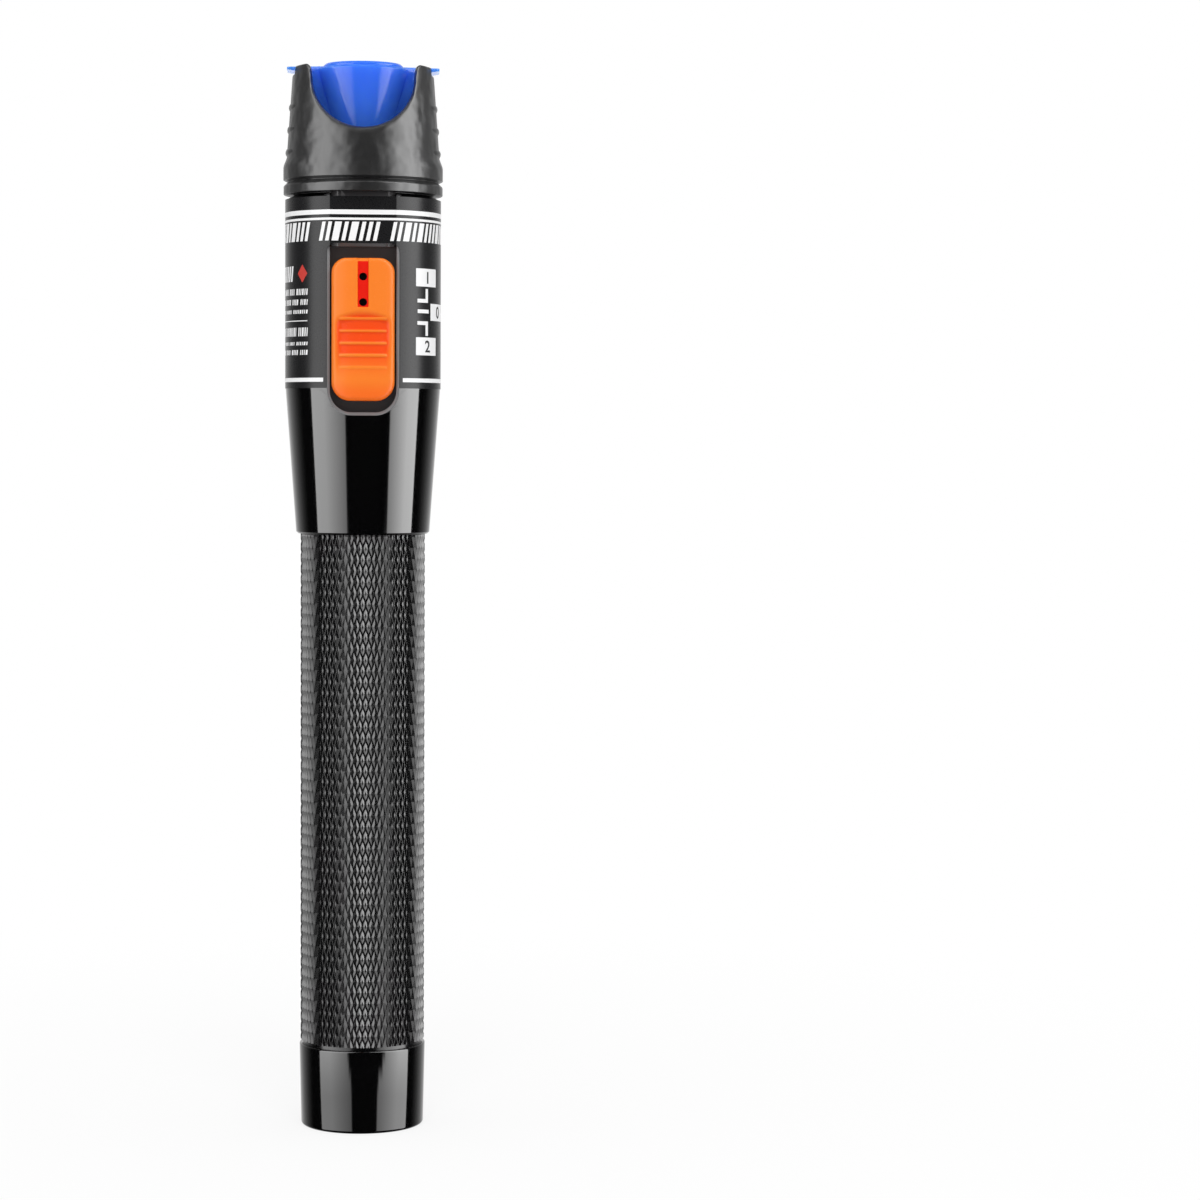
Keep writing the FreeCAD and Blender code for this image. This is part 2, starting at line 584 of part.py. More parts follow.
def make_label():
    """Printed film round the head, flat across the carrier's tongue, cut out at the window."""
    body = new_body("label_film")
    foot = f"{CONE_TOP} + sizes.label_foot_gap"
    sketch = new_sketch(body, "label_film_section", "XY_Plane", foot)
    for grow in ("0", "sizes.label_thickness"):
        add_flatted_ring(sketch, f"(sizes.head_radius + {grow})", f"({WINDOW_FLAT} + {grow})")
    extrude(body, "label_film_wrap", sketch, "sizes.label_height")
    opening = new_sketch(body, "label_film_window", "XZ_Plane")
    half = "(sizes.window_width / 2 + sizes.label_margin)"
    top = f"({WINDOW_TOP} + sizes.label_margin)"
    add_box(opening, f"-{half}", half, f"{foot} - sizes.label_margin", top)
    extrude(body, "label_film_cut", opening, "2 * sizes.head_radius", "Pocket", backward=True)


def add_flatted_ring(sketch, radius, flat):
    """Closed circle with a flat facing -Y: one arc and its chord."""
    reach = f"sqrt({radius} ^ 2 - {flat} ^ 2)"
    half = number(reach)
    depth = number(flat)
    first = sketch.GeometryCount
    start = math.atan2(-depth, half)
    sketch.addGeometry(Part.ArcOfCircle(Part.Circle(FreeCAD.Vector(0, 0, 0), FreeCAD.Vector(0, 0, 1),
                                                    number(radius)), start, math.pi - start))
    left = FreeCAD.Vector(-half, -depth, 0)
    right = FreeCAD.Vector(half, -depth, 0)
    sketch.addGeometry(Part.LineSegment(left, right))
    sketch.addConstraint(Sketcher.Constraint("Coincident", first, 3, -1, 1))
    sketch.addConstraint(Sketcher.Constraint("Coincident", first, 2, first + 1, 1))
    sketch.addConstraint(Sketcher.Constraint("Coincident", first + 1, 2, first, 1))
    sketch.addConstraint(Sketcher.Constraint("Horizontal", first + 1))
    held = sketch.addConstraint(Sketcher.Constraint("Radius", first, number(radius)))
    sketch.setExpression(f"Constraints[{held}]", radius)
    held = sketch.addConstraint(Sketcher.Constraint("DistanceY", -1, 1, first + 1, 1, -depth))
    sketch.setExpression(f"Constraints[{held}]", f"-{flat}")


def make_carrier():
    """Moulding in the head: floor, open chamber, tongue, head with neck, laser bore."""
    body = new_body("inner_carrier")
    bore = "sizes.laser_radius + sizes.laser_clearance"
    chamber = f"{CARRIER_RADIUS} - sizes.carrier_wall"
    turn(body, "inner_carrier_turning", (
        ("sizes.contact_stem_radius", CARRIER_FOOT),
        (CARRIER_RADIUS, CARRIER_FOOT),
        (CARRIER_RADIUS, GUARD_SEAT),
        (NECK_RADIUS, GUARD_SEAT),
        (NECK_RADIUS, NECK_TOP),
        (bore, NECK_TOP),
        (bore, CHAMBER_TOP),
        (chamber, CHAMBER_TOP),
        (chamber, CHAMBER_FOOT),
        ("sizes.contact_stem_radius", CHAMBER_FOOT),
    ))
    front = new_sketch(body, "inner_carrier_plate_way", "XZ_Plane", CARRIAGE_BACK)
    half = "(sizes.carriage_width / 2 + sizes.carriage_play)"
    add_box(front, f"-{half}", half, CHAMBER_FOOT, CHAMBER_TOP)
    extrude(body, "inner_carrier_plate_cut", front, "sizes.head_radius", "Pocket", backward=True)
    inner = new_sketch(body, "inner_carrier_switch_way", "XZ_Plane", "sizes.board_front")
    half = "(sizes.window_width / 2 - sizes.carriage_play)"
    add_box(inner, f"-{half}", half, CHAMBER_FOOT, CHAMBER_TOP)
    extrude(body, "inner_carrier_switch_cut", inner, "sizes.head_radius", "Pocket", backward=True)
    add_carrier_rails(body)
    add_carrier_tongue(body)


def add_carrier_rails(body):
    """Two rails behind the board, with a screw hole in each."""
    rail_foot = f"{CHAMBER_FOOT} + sizes.rail_end_gap"
    sketch = new_sketch(body, "inner_carrier_rail_section", "XY_Plane", rail_foot)
    back = f"-({BOARD_BACK})"
    for side in ("", "-"):
        inner = f"{side}{RAIL_INNER}"
        outer = f"{side}({CARRIER_RADIUS} - sizes.carrier_wall / 2)"
        left, right = (inner, outer) if not side else (outer, inner)
        add_box(sketch, left, right, BOARD_BACK, f"{BOARD_BACK} + sizes.rail_depth")
    extrude(body, "inner_carrier_rails", sketch,
            f"{CHAMBER_TOP} - {CHAMBER_FOOT} - 2 * sizes.rail_end_gap")
    holes = new_sketch(body, "inner_carrier_screw_places", "XZ_Plane", back)
    for across, up in screw_places():
        add_circle(holes, across, up, "sizes.screw_radius")
    extrude(body, "inner_carrier_screw_holes", holes, "sizes.rail_depth", "Pocket")


def screw_places():
    """Middles of the two board screws, (x, z) as expressions."""
    return ((SCREW_SIDE, f"{BOARD_TOP} - sizes.screw_end"),
            (f"-{SCREW_SIDE}", f"{BOARD_FOOT} + sizes.screw_end"))


def add_carrier_tongue(body):
    """Tongue from the carrier's head down to the window, flush with the window's edges."""
    sketch = new_sketch(body, "inner_carrier_tongue_section", "XY_Plane", WINDOW_TOP)
    half = "(sizes.window_width / 2 - sizes.tongue_gap)"
    add_box(sketch, f"-{half}", half, f"-{WINDOW_FLAT}", f"-{WINDOW_FLAT} + sizes.tongue_thickness")
    tongue = extrude(body, "inner_carrier_tongue", sketch, f"{GUARD_SEAT} - {WINDOW_TOP}")
    reach = number(half)
    depth = -number(WINDOW_FLAT)
    smooth(body, "inner_carrier_tongue_edges", tongue,
           lambda edge: edge.BoundBox.XLength < CLOSE and edge.BoundBox.YLength < CLOSE
           and abs(abs(edge.BoundBox.XMin) - reach) < CLOSE and abs(edge.BoundBox.YMin - depth) < CLOSE,
           "sizes.tongue_edge_round")


# --- slide button, carriage and switch ----------------------------------------
def make_button():
    """Orange slide button: crowned front, pointer groove with two holes, thumb ribs."""
    body = new_body("slide_button")
    foot = f"({BUTTON_MIDDLE} - {BUTTON_HEIGHT} / 2)"
    sketch = new_sketch(body, "slide_button_section", "XY_Plane", foot)
    add_crowned_box(sketch, "sizes.button_width / 2", CARRIAGE_FRONT, BUTTON_CROWN)
    block = extrude(body, "slide_button_block", sketch, BUTTON_HEIGHT)
    corners = block
    middle = number(BUTTON_MIDDLE)
    for name, upper, radius in (("top", True, "sizes.button_corner"), ("foot", False, BUTTON_FOOT_CORNER)):
        corners = smooth(body, f"slide_button_{name}_corners", corners,
                         lambda edge, upper=upper: edge.BoundBox.XLength < CLOSE
                         and edge.BoundBox.ZLength < CLOSE
                         and (edge.BoundBox.ZMin > middle) == upper, radius)
    front = -number(f"({CARRIAGE_FRONT} + {BUTTON_CROWN}) / 2")
    smooth(body, "slide_button_edge", corners,
           lambda edge: edge.BoundBox.YMax < front,
           "sizes.button_edge_bevel", "Chamfer")
    pointer = new_sketch(body, "slide_button_pointer_outline", "XZ_Plane",
                         f"{BUTTON_CROWN} - sizes.pointer_depth")
    half = "sizes.pointer_width / 2"
    add_box(pointer, f"-{half}", half, f"{BUTTON_TOP} - sizes.pointer_length",
            f"{BUTTON_TOP} + sizes.pointer_width")
    extrude(body, "slide_button_pointer", pointer, BUTTON_CROWN, "Pocket", backward=True)
    holes = new_sketch(body, "slide_button_hole_places", "XZ_Plane",
                       f"{BUTTON_CROWN} - sizes.pointer_depth")
    upper = f"{BUTTON_TOP} - sizes.pointer_hole_drop"
    for level in (upper, f"{upper} - sizes.pointer_hole_spacing"):
        add_circle(holes, "0", level, "sizes.pointer_hole_radius")
    extrude(body, "slide_button_holes", holes, "sizes.pointer_hole_depth", "Pocket")
    add_thumb_ribs(body)


def add_crowned_box(sketch, half, back, crown):
    """Section of the button: flat back and sides, front on a circle about the axis."""
    side = f"sqrt(({crown}) ^ 2 - ({half}) ^ 2)"
    reach = number(half)
    depth = number(side)
    rear = number(back)
    corners = [FreeCAD.Vector(*point, 0) for point in
               ((reach, -depth), (reach, -rear), (-reach, -rear), (-reach, -depth))]
    for start, end in zip(corners, corners[1:]):
        sketch.addGeometry(Part.LineSegment(start, end))
    angle = math.atan2(depth, reach)
    sketch.addGeometry(Part.ArcOfCircle(Part.Circle(FreeCAD.Vector(0, 0, 0), FreeCAD.Vector(0, 0, 1),
                                                    number(crown)), angle - math.pi, -angle))
    for index in range(2):
        sketch.addConstraint(Sketcher.Constraint("Coincident", index, 2, index + 1, 1))
    sketch.addConstraint(Sketcher.Constraint("Coincident", 2, 2, 3, 1))
    sketch.addConstraint(Sketcher.Constraint("Coincident", 3, 2, 0, 1))
    sketch.addConstraint(Sketcher.Constraint("Coincident", 3, 3, -1, 1))
    sketch.addConstraint(Sketcher.Constraint("Vertical", 0))
    sketch.addConstraint(Sketcher.Constraint("Vertical", 2))
    pin_point(sketch, 1, 1, (half, f"-({back})"))
    pin_point(sketch, 1, 2, (f"-({half})", f"-({back})"))
    held = sketch.addConstraint(Sketcher.Constraint("Radius", 3, number(crown)))
    sketch.setExpression(f"Constraints[{held}]", crown)


def add_thumb_ribs(body):
    """Gaps between the thumb ribs, cut to a floor that follows the crown."""
    floor = f"{BUTTON_CROWN} - sizes.thumb_dish_depth"
    gap = "(sizes.thumb_rib_pitch - sizes.thumb_rib_width)"
    middle = f"({BUTTON_MIDDLE} - sizes.thumb_dish_drop)"
    lowest = f"({middle} - sizes.thumb_ribs / 2 * sizes.thumb_rib_pitch - {gap} / 2)"
    sketch = new_sketch(body, "slide_button_rib_gap", "XY_Plane", lowest)
    add_dish(sketch, "sizes.thumb_dish_width / 2", floor)
    cut = extrude(body, "slide_button_gap", sketch, gap, "Pocket", backward=True)
    repeat_up(body, "slide_button_ribs", cut, "(sizes.thumb_ribs + 1)", "sizes.thumb_rib_pitch")


def add_dish(sketch, half, floor):
    """Section of a gap: between the floor's circle and a line ahead of the crown."""
    reach = number(half)
    radius = number(floor)
    depth = math.sqrt(radius ** 2 - reach ** 2)
    reach_ahead = f"2 * {BUTTON_CROWN}"
    ahead = number(reach_ahead)
    right = FreeCAD.Vector(reach, -depth, 0)
    left = FreeCAD.Vector(-reach, -depth, 0)
    sketch.addGeometry(Part.LineSegment(left, FreeCAD.Vector(-reach, -ahead, 0)))
    sketch.addGeometry(Part.LineSegment(FreeCAD.Vector(-reach, -ahead, 0), FreeCAD.Vector(reach, -ahead, 0)))
    sketch.addGeometry(Part.LineSegment(FreeCAD.Vector(reach, -ahead, 0), right))
    angle = math.atan2(depth, reach)
    sketch.addGeometry(Part.ArcOfCircle(Part.Circle(FreeCAD.Vector(0, 0, 0), FreeCAD.Vector(0, 0, 1), radius),
                                        angle - math.pi, -angle))
    for index in range(2):
        sketch.addConstraint(Sketcher.Constraint("Coincident", index, 2, index + 1, 1))
    sketch.addConstraint(Sketcher.Constraint("Coincident", 2, 2, 3, 2))
    sketch.addConstraint(Sketcher.Constraint("Coincident", 3, 1, 0, 1))
    sketch.addConstraint(Sketcher.Constraint("Coincident", 3, 3, -1, 1))
    sketch.addConstraint(Sketcher.Constraint("Vertical", 0))
    sketch.addConstraint(Sketcher.Constraint("Vertical", 2))
    pin_point(sketch, 1, 1, (f"-({half})", f"-({reach_ahead})"))
    pin_point(sketch, 1, 2, (half, f"-({reach_ahead})"))
    held = sketch.addConstraint(Sketcher.Constraint("Radius", 3, radius))
    sketch.setExpression(f"Constraints[{held}]", floor)


def make_carriage():
    """Plate behind the window that carries the button and takes the switch lever."""
    body = new_body("slide_carriage")
    sketch = new_sketch(body, "slide_carriage_outline", "XZ_Plane", CARRIAGE_BACK)
    half_width = "sizes.carriage_width / 2"
    half_height = "sizes.carriage_height / 2"
    add_box(sketch, f"-{half_width}", half_width,
            f"{BUTTON_MIDDLE} - {half_height}", f"{BUTTON_MIDDLE} + {half_height}")
    extrude(body, "slide_carriage_plate", sketch, "sizes.carriage_thickness")
    boss = new_sketch(body, "slide_carriage_boss_outline", "XZ_Plane", CARRIAGE_BACK)
    across = "(sizes.lever_width / 2 + sizes.carriage_boss_wall)"
    up = "(sizes.lever_height / 2 + sizes.carriage_boss_wall)"
    add_box(boss, f"-{across}", across, f"{BUTTON_MIDDLE} - {up}", f"{BUTTON_MIDDLE} + {up}")
    extrude(body, "slide_carriage_boss", boss, "sizes.carriage_boss", backward=True)
    socket = new_sketch(body, "slide_carriage_socket_outline", "XZ_Plane",
                        f"{CARRIAGE_BACK} - sizes.carriage_boss")
    across = "sizes.lever_width / 2"
    up = "sizes.lever_height / 2"
    add_box(socket, f"-{across}", across, f"{BUTTON_MIDDLE} - {up}", f"{BUTTON_MIDDLE} + {up}")
    extrude(body, "slide_carriage_socket", socket, "sizes.carriage_boss", "Pocket", backward=True)


def add_block(label, width, height, front, back, middle, across="0"):
    """Part::Box in front of or behind the axis plane; front and back are distances ahead of it."""
    box = DOC.addObject("Part::Box", f"{label}_box")
    box.setExpression("Length", width)
    box.setExpression("Width", f"({front}) - ({back})")
    box.setExpression("Height", height)
    box.setExpression("Placement.Base.x", f"({across}) - ({width}) / 2")
    box.setExpression("Placement.Base.y", f"-({front})")
    box.setExpression("Placement.Base.z", f"({middle}) - ({height}) / 2")
    return box


def make_switch():
    """Three-position slide switch: case with a slot, and its lever."""
    body = new_body("switch_case")
    sketch = new_sketch(body, "switch_case_outline", "XZ_Plane", "sizes.board_front")
    across = "sizes.switch_width / 2"
    up = "sizes.switch_height / 2"
    add_box(sketch, f"-{across}", across, f"{BUTTON_MIDDLE} - {up}", f"{BUTTON_MIDDLE} + {up}")
    extrude(body, "switch_case_block", sketch, "sizes.switch_thickness")
    slot = new_sketch(body, "switch_case_slot_outline", "XZ_Plane", SWITCH_FRONT)
    across = "(sizes.lever_width / 2 + sizes.lever_play)"
    up = "(sizes.lever_height / 2 + sizes.button_travel + sizes.lever_play)"
    add_box(slot, f"-{across}", across, f"{BUTTON_MIDDLE} - {up}", f"{BUTTON_MIDDLE} + {up}")
    extrude(body, "switch_case_slot", slot, "sizes.switch_slot_depth", "Pocket")
    lever = add_block("switch_lever", "sizes.lever_width", "sizes.lever_height", CARRIAGE_BACK,
                      f"{SWITCH_FRONT} - sizes.switch_slot_depth + sizes.lever_foot_gap", BUTTON_MIDDLE)
    lever.Label = "switch_lever"


# --- board -------------------------------------------------------------------
def make_board():
    """Circuit board with its two screw holes."""
    body = new_body("circuit_board")
    sketch = new_sketch(body, "circuit_board_outline", "XZ_Plane", f"-({BOARD_BACK})")
    half = BOARD_HALF
    add_box(sketch, f"-{half}", half, BOARD_FOOT, BOARD_TOP)
    for across, up in screw_places():
        add_circle(sketch, across, up, "sizes.screw_radius")
    extrude(body, "circuit_board_plate", sketch, "sizes.board_thickness")


def make_board_screws():
    """Two screws through the board into the carrier's rails."""
    group = []
    for index, (across, up) in enumerate(screw_places(), 1):
        body = DOC.addObject("PartDesign::Body", f"board_screw_{index}")
        shank = new_sketch(body, f"board_screw_{index}_shank_outline", "XZ_Plane", "sizes.board_front")
        add_circle(shank, across, up, "sizes.screw_radius")
        extrude(body, f"board_screw_{index}_shank", shank, "sizes.screw_length", backward=True)
        head = new_sketch(body, f"board_screw_{index}_head_outline", "XZ_Plane", "sizes.board_front")
        add_circle(head, across, up, "sizes.screw_head_radius")
        extrude(body, f"board_screw_{index}_head", head, "sizes.screw_head_height")
        group.append(body)
    screws = DOC.addObject("Part::Compound", "board_screw_group")
    screws.Label = "board_screws"
    screws.Links = group


def make_board_parts():
    """Driver chip, inductor and two capacitors on the back of the board."""
    chip = add_block("driver_chip", "sizes.chip_width", "sizes.chip_height", f"-({BOARD_BACK})",
                     f"-({BOARD_BACK}) - sizes.chip_thickness", f"{BOARD_FOOT} + sizes.chip_rise")
    chip.Label = "driver_chip"
    coil = DOC.addObject("Part::Cylinder", "inductor_drum")
    coil.Label = "inductor"
    coil.setExpression("Radius", "sizes.coil_radius")
    coil.setExpression("Height", "sizes.coil_thickness")
    coil.Placement.Rotation = FreeCAD.Rotation(FreeCAD.Vector(1, 0, 0), -90)
    coil.setExpression("Placement.Base.y", BOARD_BACK)
    coil.setExpression("Placement.Base.z", f"{BOARD_FOOT} + sizes.coil_rise")
    pair = []
    for index, side in enumerate(("-", ""), 1):
        pair.append(add_block(f"capacitor_{index}", "sizes.capacitor_width", "sizes.capacitor_height",
                              f"-({BOARD_BACK})", f"-({BOARD_BACK}) - sizes.capacitor_thickness",
                              f"{BOARD_FOOT} + sizes.capacitor_rise", f"{side}sizes.capacitor_spacing / 2"))
    capacitors = DOC.addObject("Part::Compound", "capacitor_pair")
    capacitors.Label = "capacitors"
    capacitors.Links = pair


def make_positive_contact():
    """Contact pin from the upper cell through the carrier's floor to the board."""
    pin = new_body("contact_pin")
    turn(pin, "contact_pin_turning", (
        ("0", CELLS_TOP),
        ("sizes.contact_head_radius", CELLS_TOP),
        ("sizes.contact_head_radius", f"{CELLS_TOP} + sizes.contact_head_height"),
        ("sizes.contact_stem_radius", f"{CELLS_TOP} + sizes.contact_head_height"),
        ("sizes.contact_stem_radius", BOARD_FOOT),
        ("0", BOARD_FOOT),
    ))


# --- laser and port ------------------------------------------------------------
def make_laser():
    """Brass housing with the diode in its foot and the lens under the port's spigot."""
    housing = new_body("laser_housing")
    diode_seat = f"{CHAMBER_TOP} + sizes.diode_flange_height"
    turn(housing, "laser_housing_turning", (
        ("sizes.diode_flange_radius", CHAMBER_TOP),
        ("sizes.laser_radius", CHAMBER_TOP),
        ("sizes.laser_radius", LASER_TOP),
        ("sizes.lens_radius", LASER_TOP),
        ("sizes.lens_radius", LENS_FOOT),
        ("sizes.beam_radius", LENS_FOOT),
        ("sizes.beam_radius", diode_seat),
        ("sizes.diode_flange_radius", diode_seat),
    ))
    diode = new_body("laser_diode")
    turn(diode, "laser_diode_turning", (
        ("0", CHAMBER_TOP),
        ("sizes.diode_flange_radius", CHAMBER_TOP),
        ("sizes.diode_flange_radius", diode_seat),
        ("sizes.diode_can_radius", diode_seat),
        ("sizes.diode_can_radius", f"{diode_seat} + sizes.diode_can_height"),
        ("0", f"{diode_seat} + sizes.diode_can_height"),
    ))
    leads = new_sketch(diode, "laser_diode_lead_places", "XY_Plane", BOARD_TOP)
    for lead in range(DIODE_LEADS):
        around = FIRST_LEAD + lead * FULL_TURN / DIODE_LEADS
        add_circle(leads, f"sizes.diode_lead_circle * cos({around})",
                   f"sizes.diode_lead_circle * sin({around})", "sizes.diode_lead_radius")
    extrude(diode, "laser_diode_leads", leads, f"{CHAMBER_TOP} - {BOARD_TOP}")
    lens = new_body("focus_lens")
    turn(lens, "focus_lens_turning", (
        ("0", f"{LENS_FOOT} - sizes.lens_dome_height"),
        ("sizes.lens_dome_radius / 2", f"{LENS_FOOT} - sizes.lens_dome_height"),
        ("sizes.lens_dome_radius", LENS_FOOT),
        ("sizes.lens_radius", LENS_FOOT),
        ("sizes.lens_radius", LENS_TOP),
        ("0", LENS_TOP),
    ))


def make_port():
    """Port barrel and the ceramic sleeve for the ferrule."""
    barrel = new_body("port_barrel")
    turn(barrel, "port_barrel_turning", (
        ("sizes.port_light_bore", LENS_TOP),
        ("sizes.lens_radius", LENS_TOP),
        ("sizes.lens_radius", LASER_TOP),
        ("sizes.laser_radius", LASER_TOP),
        ("sizes.laser_radius", PORT_FOOT),
        ("sizes.port_radius", PORT_FOOT),
        ("sizes.port_radius", f"{PORT_TOP} - sizes.port_bevel"),
        ("sizes.port_radius - sizes.port_bevel", PORT_TOP),
        (SLEEVE_SEAT_RADIUS, PORT_TOP),
        (SLEEVE_SEAT_RADIUS, SLEEVE_FOOT),
        ("sizes.port_light_bore", SLEEVE_FOOT),
    ))
    sleeve = new_body("ceramic_sleeve")
    turn(sleeve, "ceramic_sleeve_turning", ring_profile(
        "sizes.sleeve_bore_radius", "sizes.sleeve_radius", SLEEVE_FOOT, SLEEVE_TOP))


# --- guard -------------------------------------------------------------------
def make_guard():
    """Moulded guard: grooved ring, tapered horns either side of two U-shaped cuts."""
    body = new_body("head_guard")
    groove_foot = f"({GUARD_SEAT} + sizes.guard_ring_height)"
    waist = f"({GUARD_SEAT} + sizes.guard_band_top + sizes.guard_flare_height)"
    turn(body, "head_guard_turning", (
        (NECK_RADIUS, GUARD_SEAT),
        (GUARD_RING, GUARD_SEAT),
        (GUARD_RING, groove_foot),
        (f"{GUARD_RING} - sizes.guard_groove_depth",
         f"{groove_foot} + sizes.guard_groove_width / 2"),
        (GUARD_BAND, f"{groove_foot} + sizes.guard_groove_width"),
        (GUARD_BAND, f"{GUARD_SEAT} + sizes.guard_band_top"),
        (GUARD_WAIST, waist),
        (GUARD_TOP_RADIUS, GUARD_TOP),
        (GUARD_INNER, GUARD_TOP),
        (GUARD_INNER, NECK_TOP),
        (NECK_RADIUS, NECK_TOP),
    ))
    add_guard_ribs(body, waist)
    add_guard_cuts(body)


def add_guard_ribs(body, waist):
    """Ribs on the two sides, on the taper: a narrow crest and sloping flanks."""
    sketch = new_sketch(body, "head_guard_rib_sections", "XZ_Plane")
    slope = f"(({GUARD_WAIST} - {GUARD_TOP_RADIUS}) / ({GUARD_TOP} - {waist}))"
    for index in range(int(number("sizes.grip_ribs"))):
        level = f"({GUARD_SEAT} + sizes.grip_rib_start + {index} * sizes.grip_rib_pitch)"
        taper = f"({GUARD_WAIST} - ({level} - {waist}) * {slope})"
        root = f"{taper} - sizes.grip_rib_proud"
        crest = f"{taper} + sizes.grip_rib_proud"
        add_loop(sketch, (
            (root, f"{level} - sizes.grip_rib_width / 2"),
            (crest, f"{level} - sizes.grip_rib_crest / 2"),
            (crest, f"{level} + sizes.grip_rib_crest / 2"),
            (root, f"{level} + sizes.grip_rib_width / 2"),
        ))
    ribs = body.newObject("PartDesign::Revolution", "head_guard_ribs")
    ribs.Profile = sketch
    ribs.ReferenceAxis = (sketch, ["V_Axis"])
    ribs.setExpression("Angle", "sizes.grip_rib_angle")
    ribs.Midplane = True
    DOC.recompute()
    repeat_around(body, "head_guard_rib_sides", ribs, "2")


def add_guard_cuts(body):
    """U-shaped cuts front and back, widening outwards, and the notches for the ears."""
    centre = f"({GUARD_TOP} - sizes.cut_centre_drop)"
    sketch = new_sketch(body, "head_guard_cut_outline", "XZ_Plane")
    add_u_shape(sketch, "sizes.cut_radius", centre, f"{GUARD_TOP} + sizes.cut_centre_drop")
    cut = extrude(body, "head_guard_cut", sketch, f"2 * {GUARD_WAIST}", "Pocket",
                  backward=True, taper="sizes.cut_taper")
    sides = repeat_around(body, "head_guard_cut_sides", cut, "2")
    smooth(body, "head_guard_cut_edges", sides, is_cut_edge, "sizes.cut_edge_bevel", "Chamfer")
    notch = new_sketch(body, "head_guard_notch_outline", "YZ_Plane")
    half = "sizes.notch_width / 2"
    add_box(notch, f"-{half}", half, f"{GUARD_TOP} - sizes.notch_depth", f"{GUARD_TOP} + sizes.notch_depth")
    extrude(body, "head_guard_notches", notch, f"2 * {GUARD_BAND}", "Pocket", both=True)


def is_cut_edge(edge):
    """True for an edge where a cut meets the outside of the taper."""
    waist = number(f"{GUARD_SEAT} + sizes.guard_band_top + sizes.guard_flare_height")
    box = edge.BoundBox
    ends = [math.hypot(vertex.X, vertex.Y) for vertex in edge.Vertexes]
    inner = number(f"({GUARD_INNER} + {GUARD_TOP_RADIUS}) / 2")
    outside = all(end > inner for end in ends)
    widest = number(f"sizes.cut_radius + {GUARD_BAND} * tan(sizes.cut_taper)")
    beside = all(abs(vertex.X) < widest for vertex in edge.Vertexes)
    flat = box.ZLength < CLOSE
    return outside and beside and not flat and box.ZMin > waist


def add_u_shape(sketch, radius, centre, top):
    """Closed U: half circle below its centre, straight sides up to a line."""
    size = number(radius)
    middle = number(centre)
    upper = number(top)
    first = sketch.GeometryCount
    circle = Part.Circle(FreeCAD.Vector(0, middle, 0), FreeCAD.Vector(0, 0, 1), size)
    sketch.addGeometry(Part.ArcOfCircle(circle, math.pi, 2 * math.pi))
    corners = [FreeCAD.Vector(*point, 0) for point in
               ((size, middle), (size, upper), (-size, upper), (-size, middle))]
    for start, end in zip(corners, corners[1:]):
        sketch.addGeometry(Part.LineSegment(start, end))
    sketch.addConstraint(Sketcher.Constraint("Coincident", first, 2, first + 1, 1))
    for index in (1, 2):
        sketch.addConstraint(Sketcher.Constraint("Coincident", first + index, 2, first + index + 1, 1))
    sketch.addConstraint(Sketcher.Constraint("Coincident", first + 3, 2, first, 1))
    pin_point(sketch, first, 3, ("0", centre))
    pin_point(sketch, first + 2, 1, (radius, top))
    pin_point(sketch, first + 3, 1, (f"-{radius}", top))
    pin_point(sketch, first + 1, 1, (radius, centre))
    held = sketch.addConstraint(Sketcher.Constraint("DistanceY", -1, 1, first, 1, middle))
    sketch.setExpression(f"Constraints[{held}]", centre)


# --- dust cap ----------------------------------------------------------------
def make_dust_cap():
    """Blue cap: conical plug over the barrel, flat wings to the horns, ears in the notches."""
    body = new_body("dust_cap")
    rim_top = f"({CAP_RIM} + sizes.cap_rim_height)"
    disc_top = f"({rim_top} + sizes.cap_disc_height)"
    turned = turn(body, "dust_cap_turning", (
        (CAP_BORE_RADIUS, CAP_FOOT),
        ("sizes.cap_mouth_radius", CAP_FOOT),
        ("sizes.cap_rim_radius", CAP_RIM),
        ("sizes.cap_rim_radius", rim_top),
        ("sizes.cap_disc_radius", rim_top),
        ("sizes.cap_disc_radius", disc_top),
        ("0", disc_top),
        ("0", f"{PORT_TOP} + sizes.cap_foot_gap"),
        (CAP_BORE_RADIUS, f"{PORT_TOP} + sizes.cap_foot_gap"),
    ))
    rings = ((number("sizes.cap_rim_radius"), number(rim_top)),
             (number("sizes.cap_disc_radius"), number(disc_top)))
    smooth(body, "dust_cap_edges", turned,
           lambda edge: any(is_ring(edge, *ring) for ring in rings), "sizes.cap_edge_bevel", "Chamfer")
    ear_foot = f"({GUARD_TOP} - sizes.notch_depth + sizes.ear_gap)"
    wing = new_sketch(body, "dust_cap_wing_outline", "XZ_Plane")
    reach = f"({GUARD_INNER} - sizes.wing_gap)"
    for side in ("", "-"):
        inner = f"{side}({CAP_BORE_RADIUS} + sizes.cap_mouth_radius) / 2"
        outer = f"{side}{reach}"
        left, right = (inner, outer) if not side else (outer, inner)
        add_box(wing, left, right, CAP_FOOT, f"{ear_foot} + sizes.ear_thickness / 2")
    extrude(body, "dust_cap_wings", wing, "sizes.wing_thickness", both=True)
    ears = new_sketch(body, "dust_cap_ear_outline", "XY_Plane", ear_foot)
    half = "(sizes.notch_width / 2 - sizes.ear_gap)"
    for side in ("", "-"):
        inner = f"{side}(sizes.cap_disc_radius - sizes.ear_thickness)"
        outer = f"{side}{EAR_REACH}"
        left, right = (inner, outer) if not side else (outer, inner)
        add_box(ears, left, right, f"-{half}", half)
    eared = extrude(body, "dust_cap_ears", ears, "sizes.ear_thickness")
    tip = number(EAR_REACH)
    smooth(body, "dust_cap_ear_corners", eared,
           lambda edge: edge.BoundBox.XLength < CLOSE and edge.BoundBox.YLength < CLOSE
           and abs(abs(edge.BoundBox.XMin) - tip) < CLOSE, "sizes.ear_round")


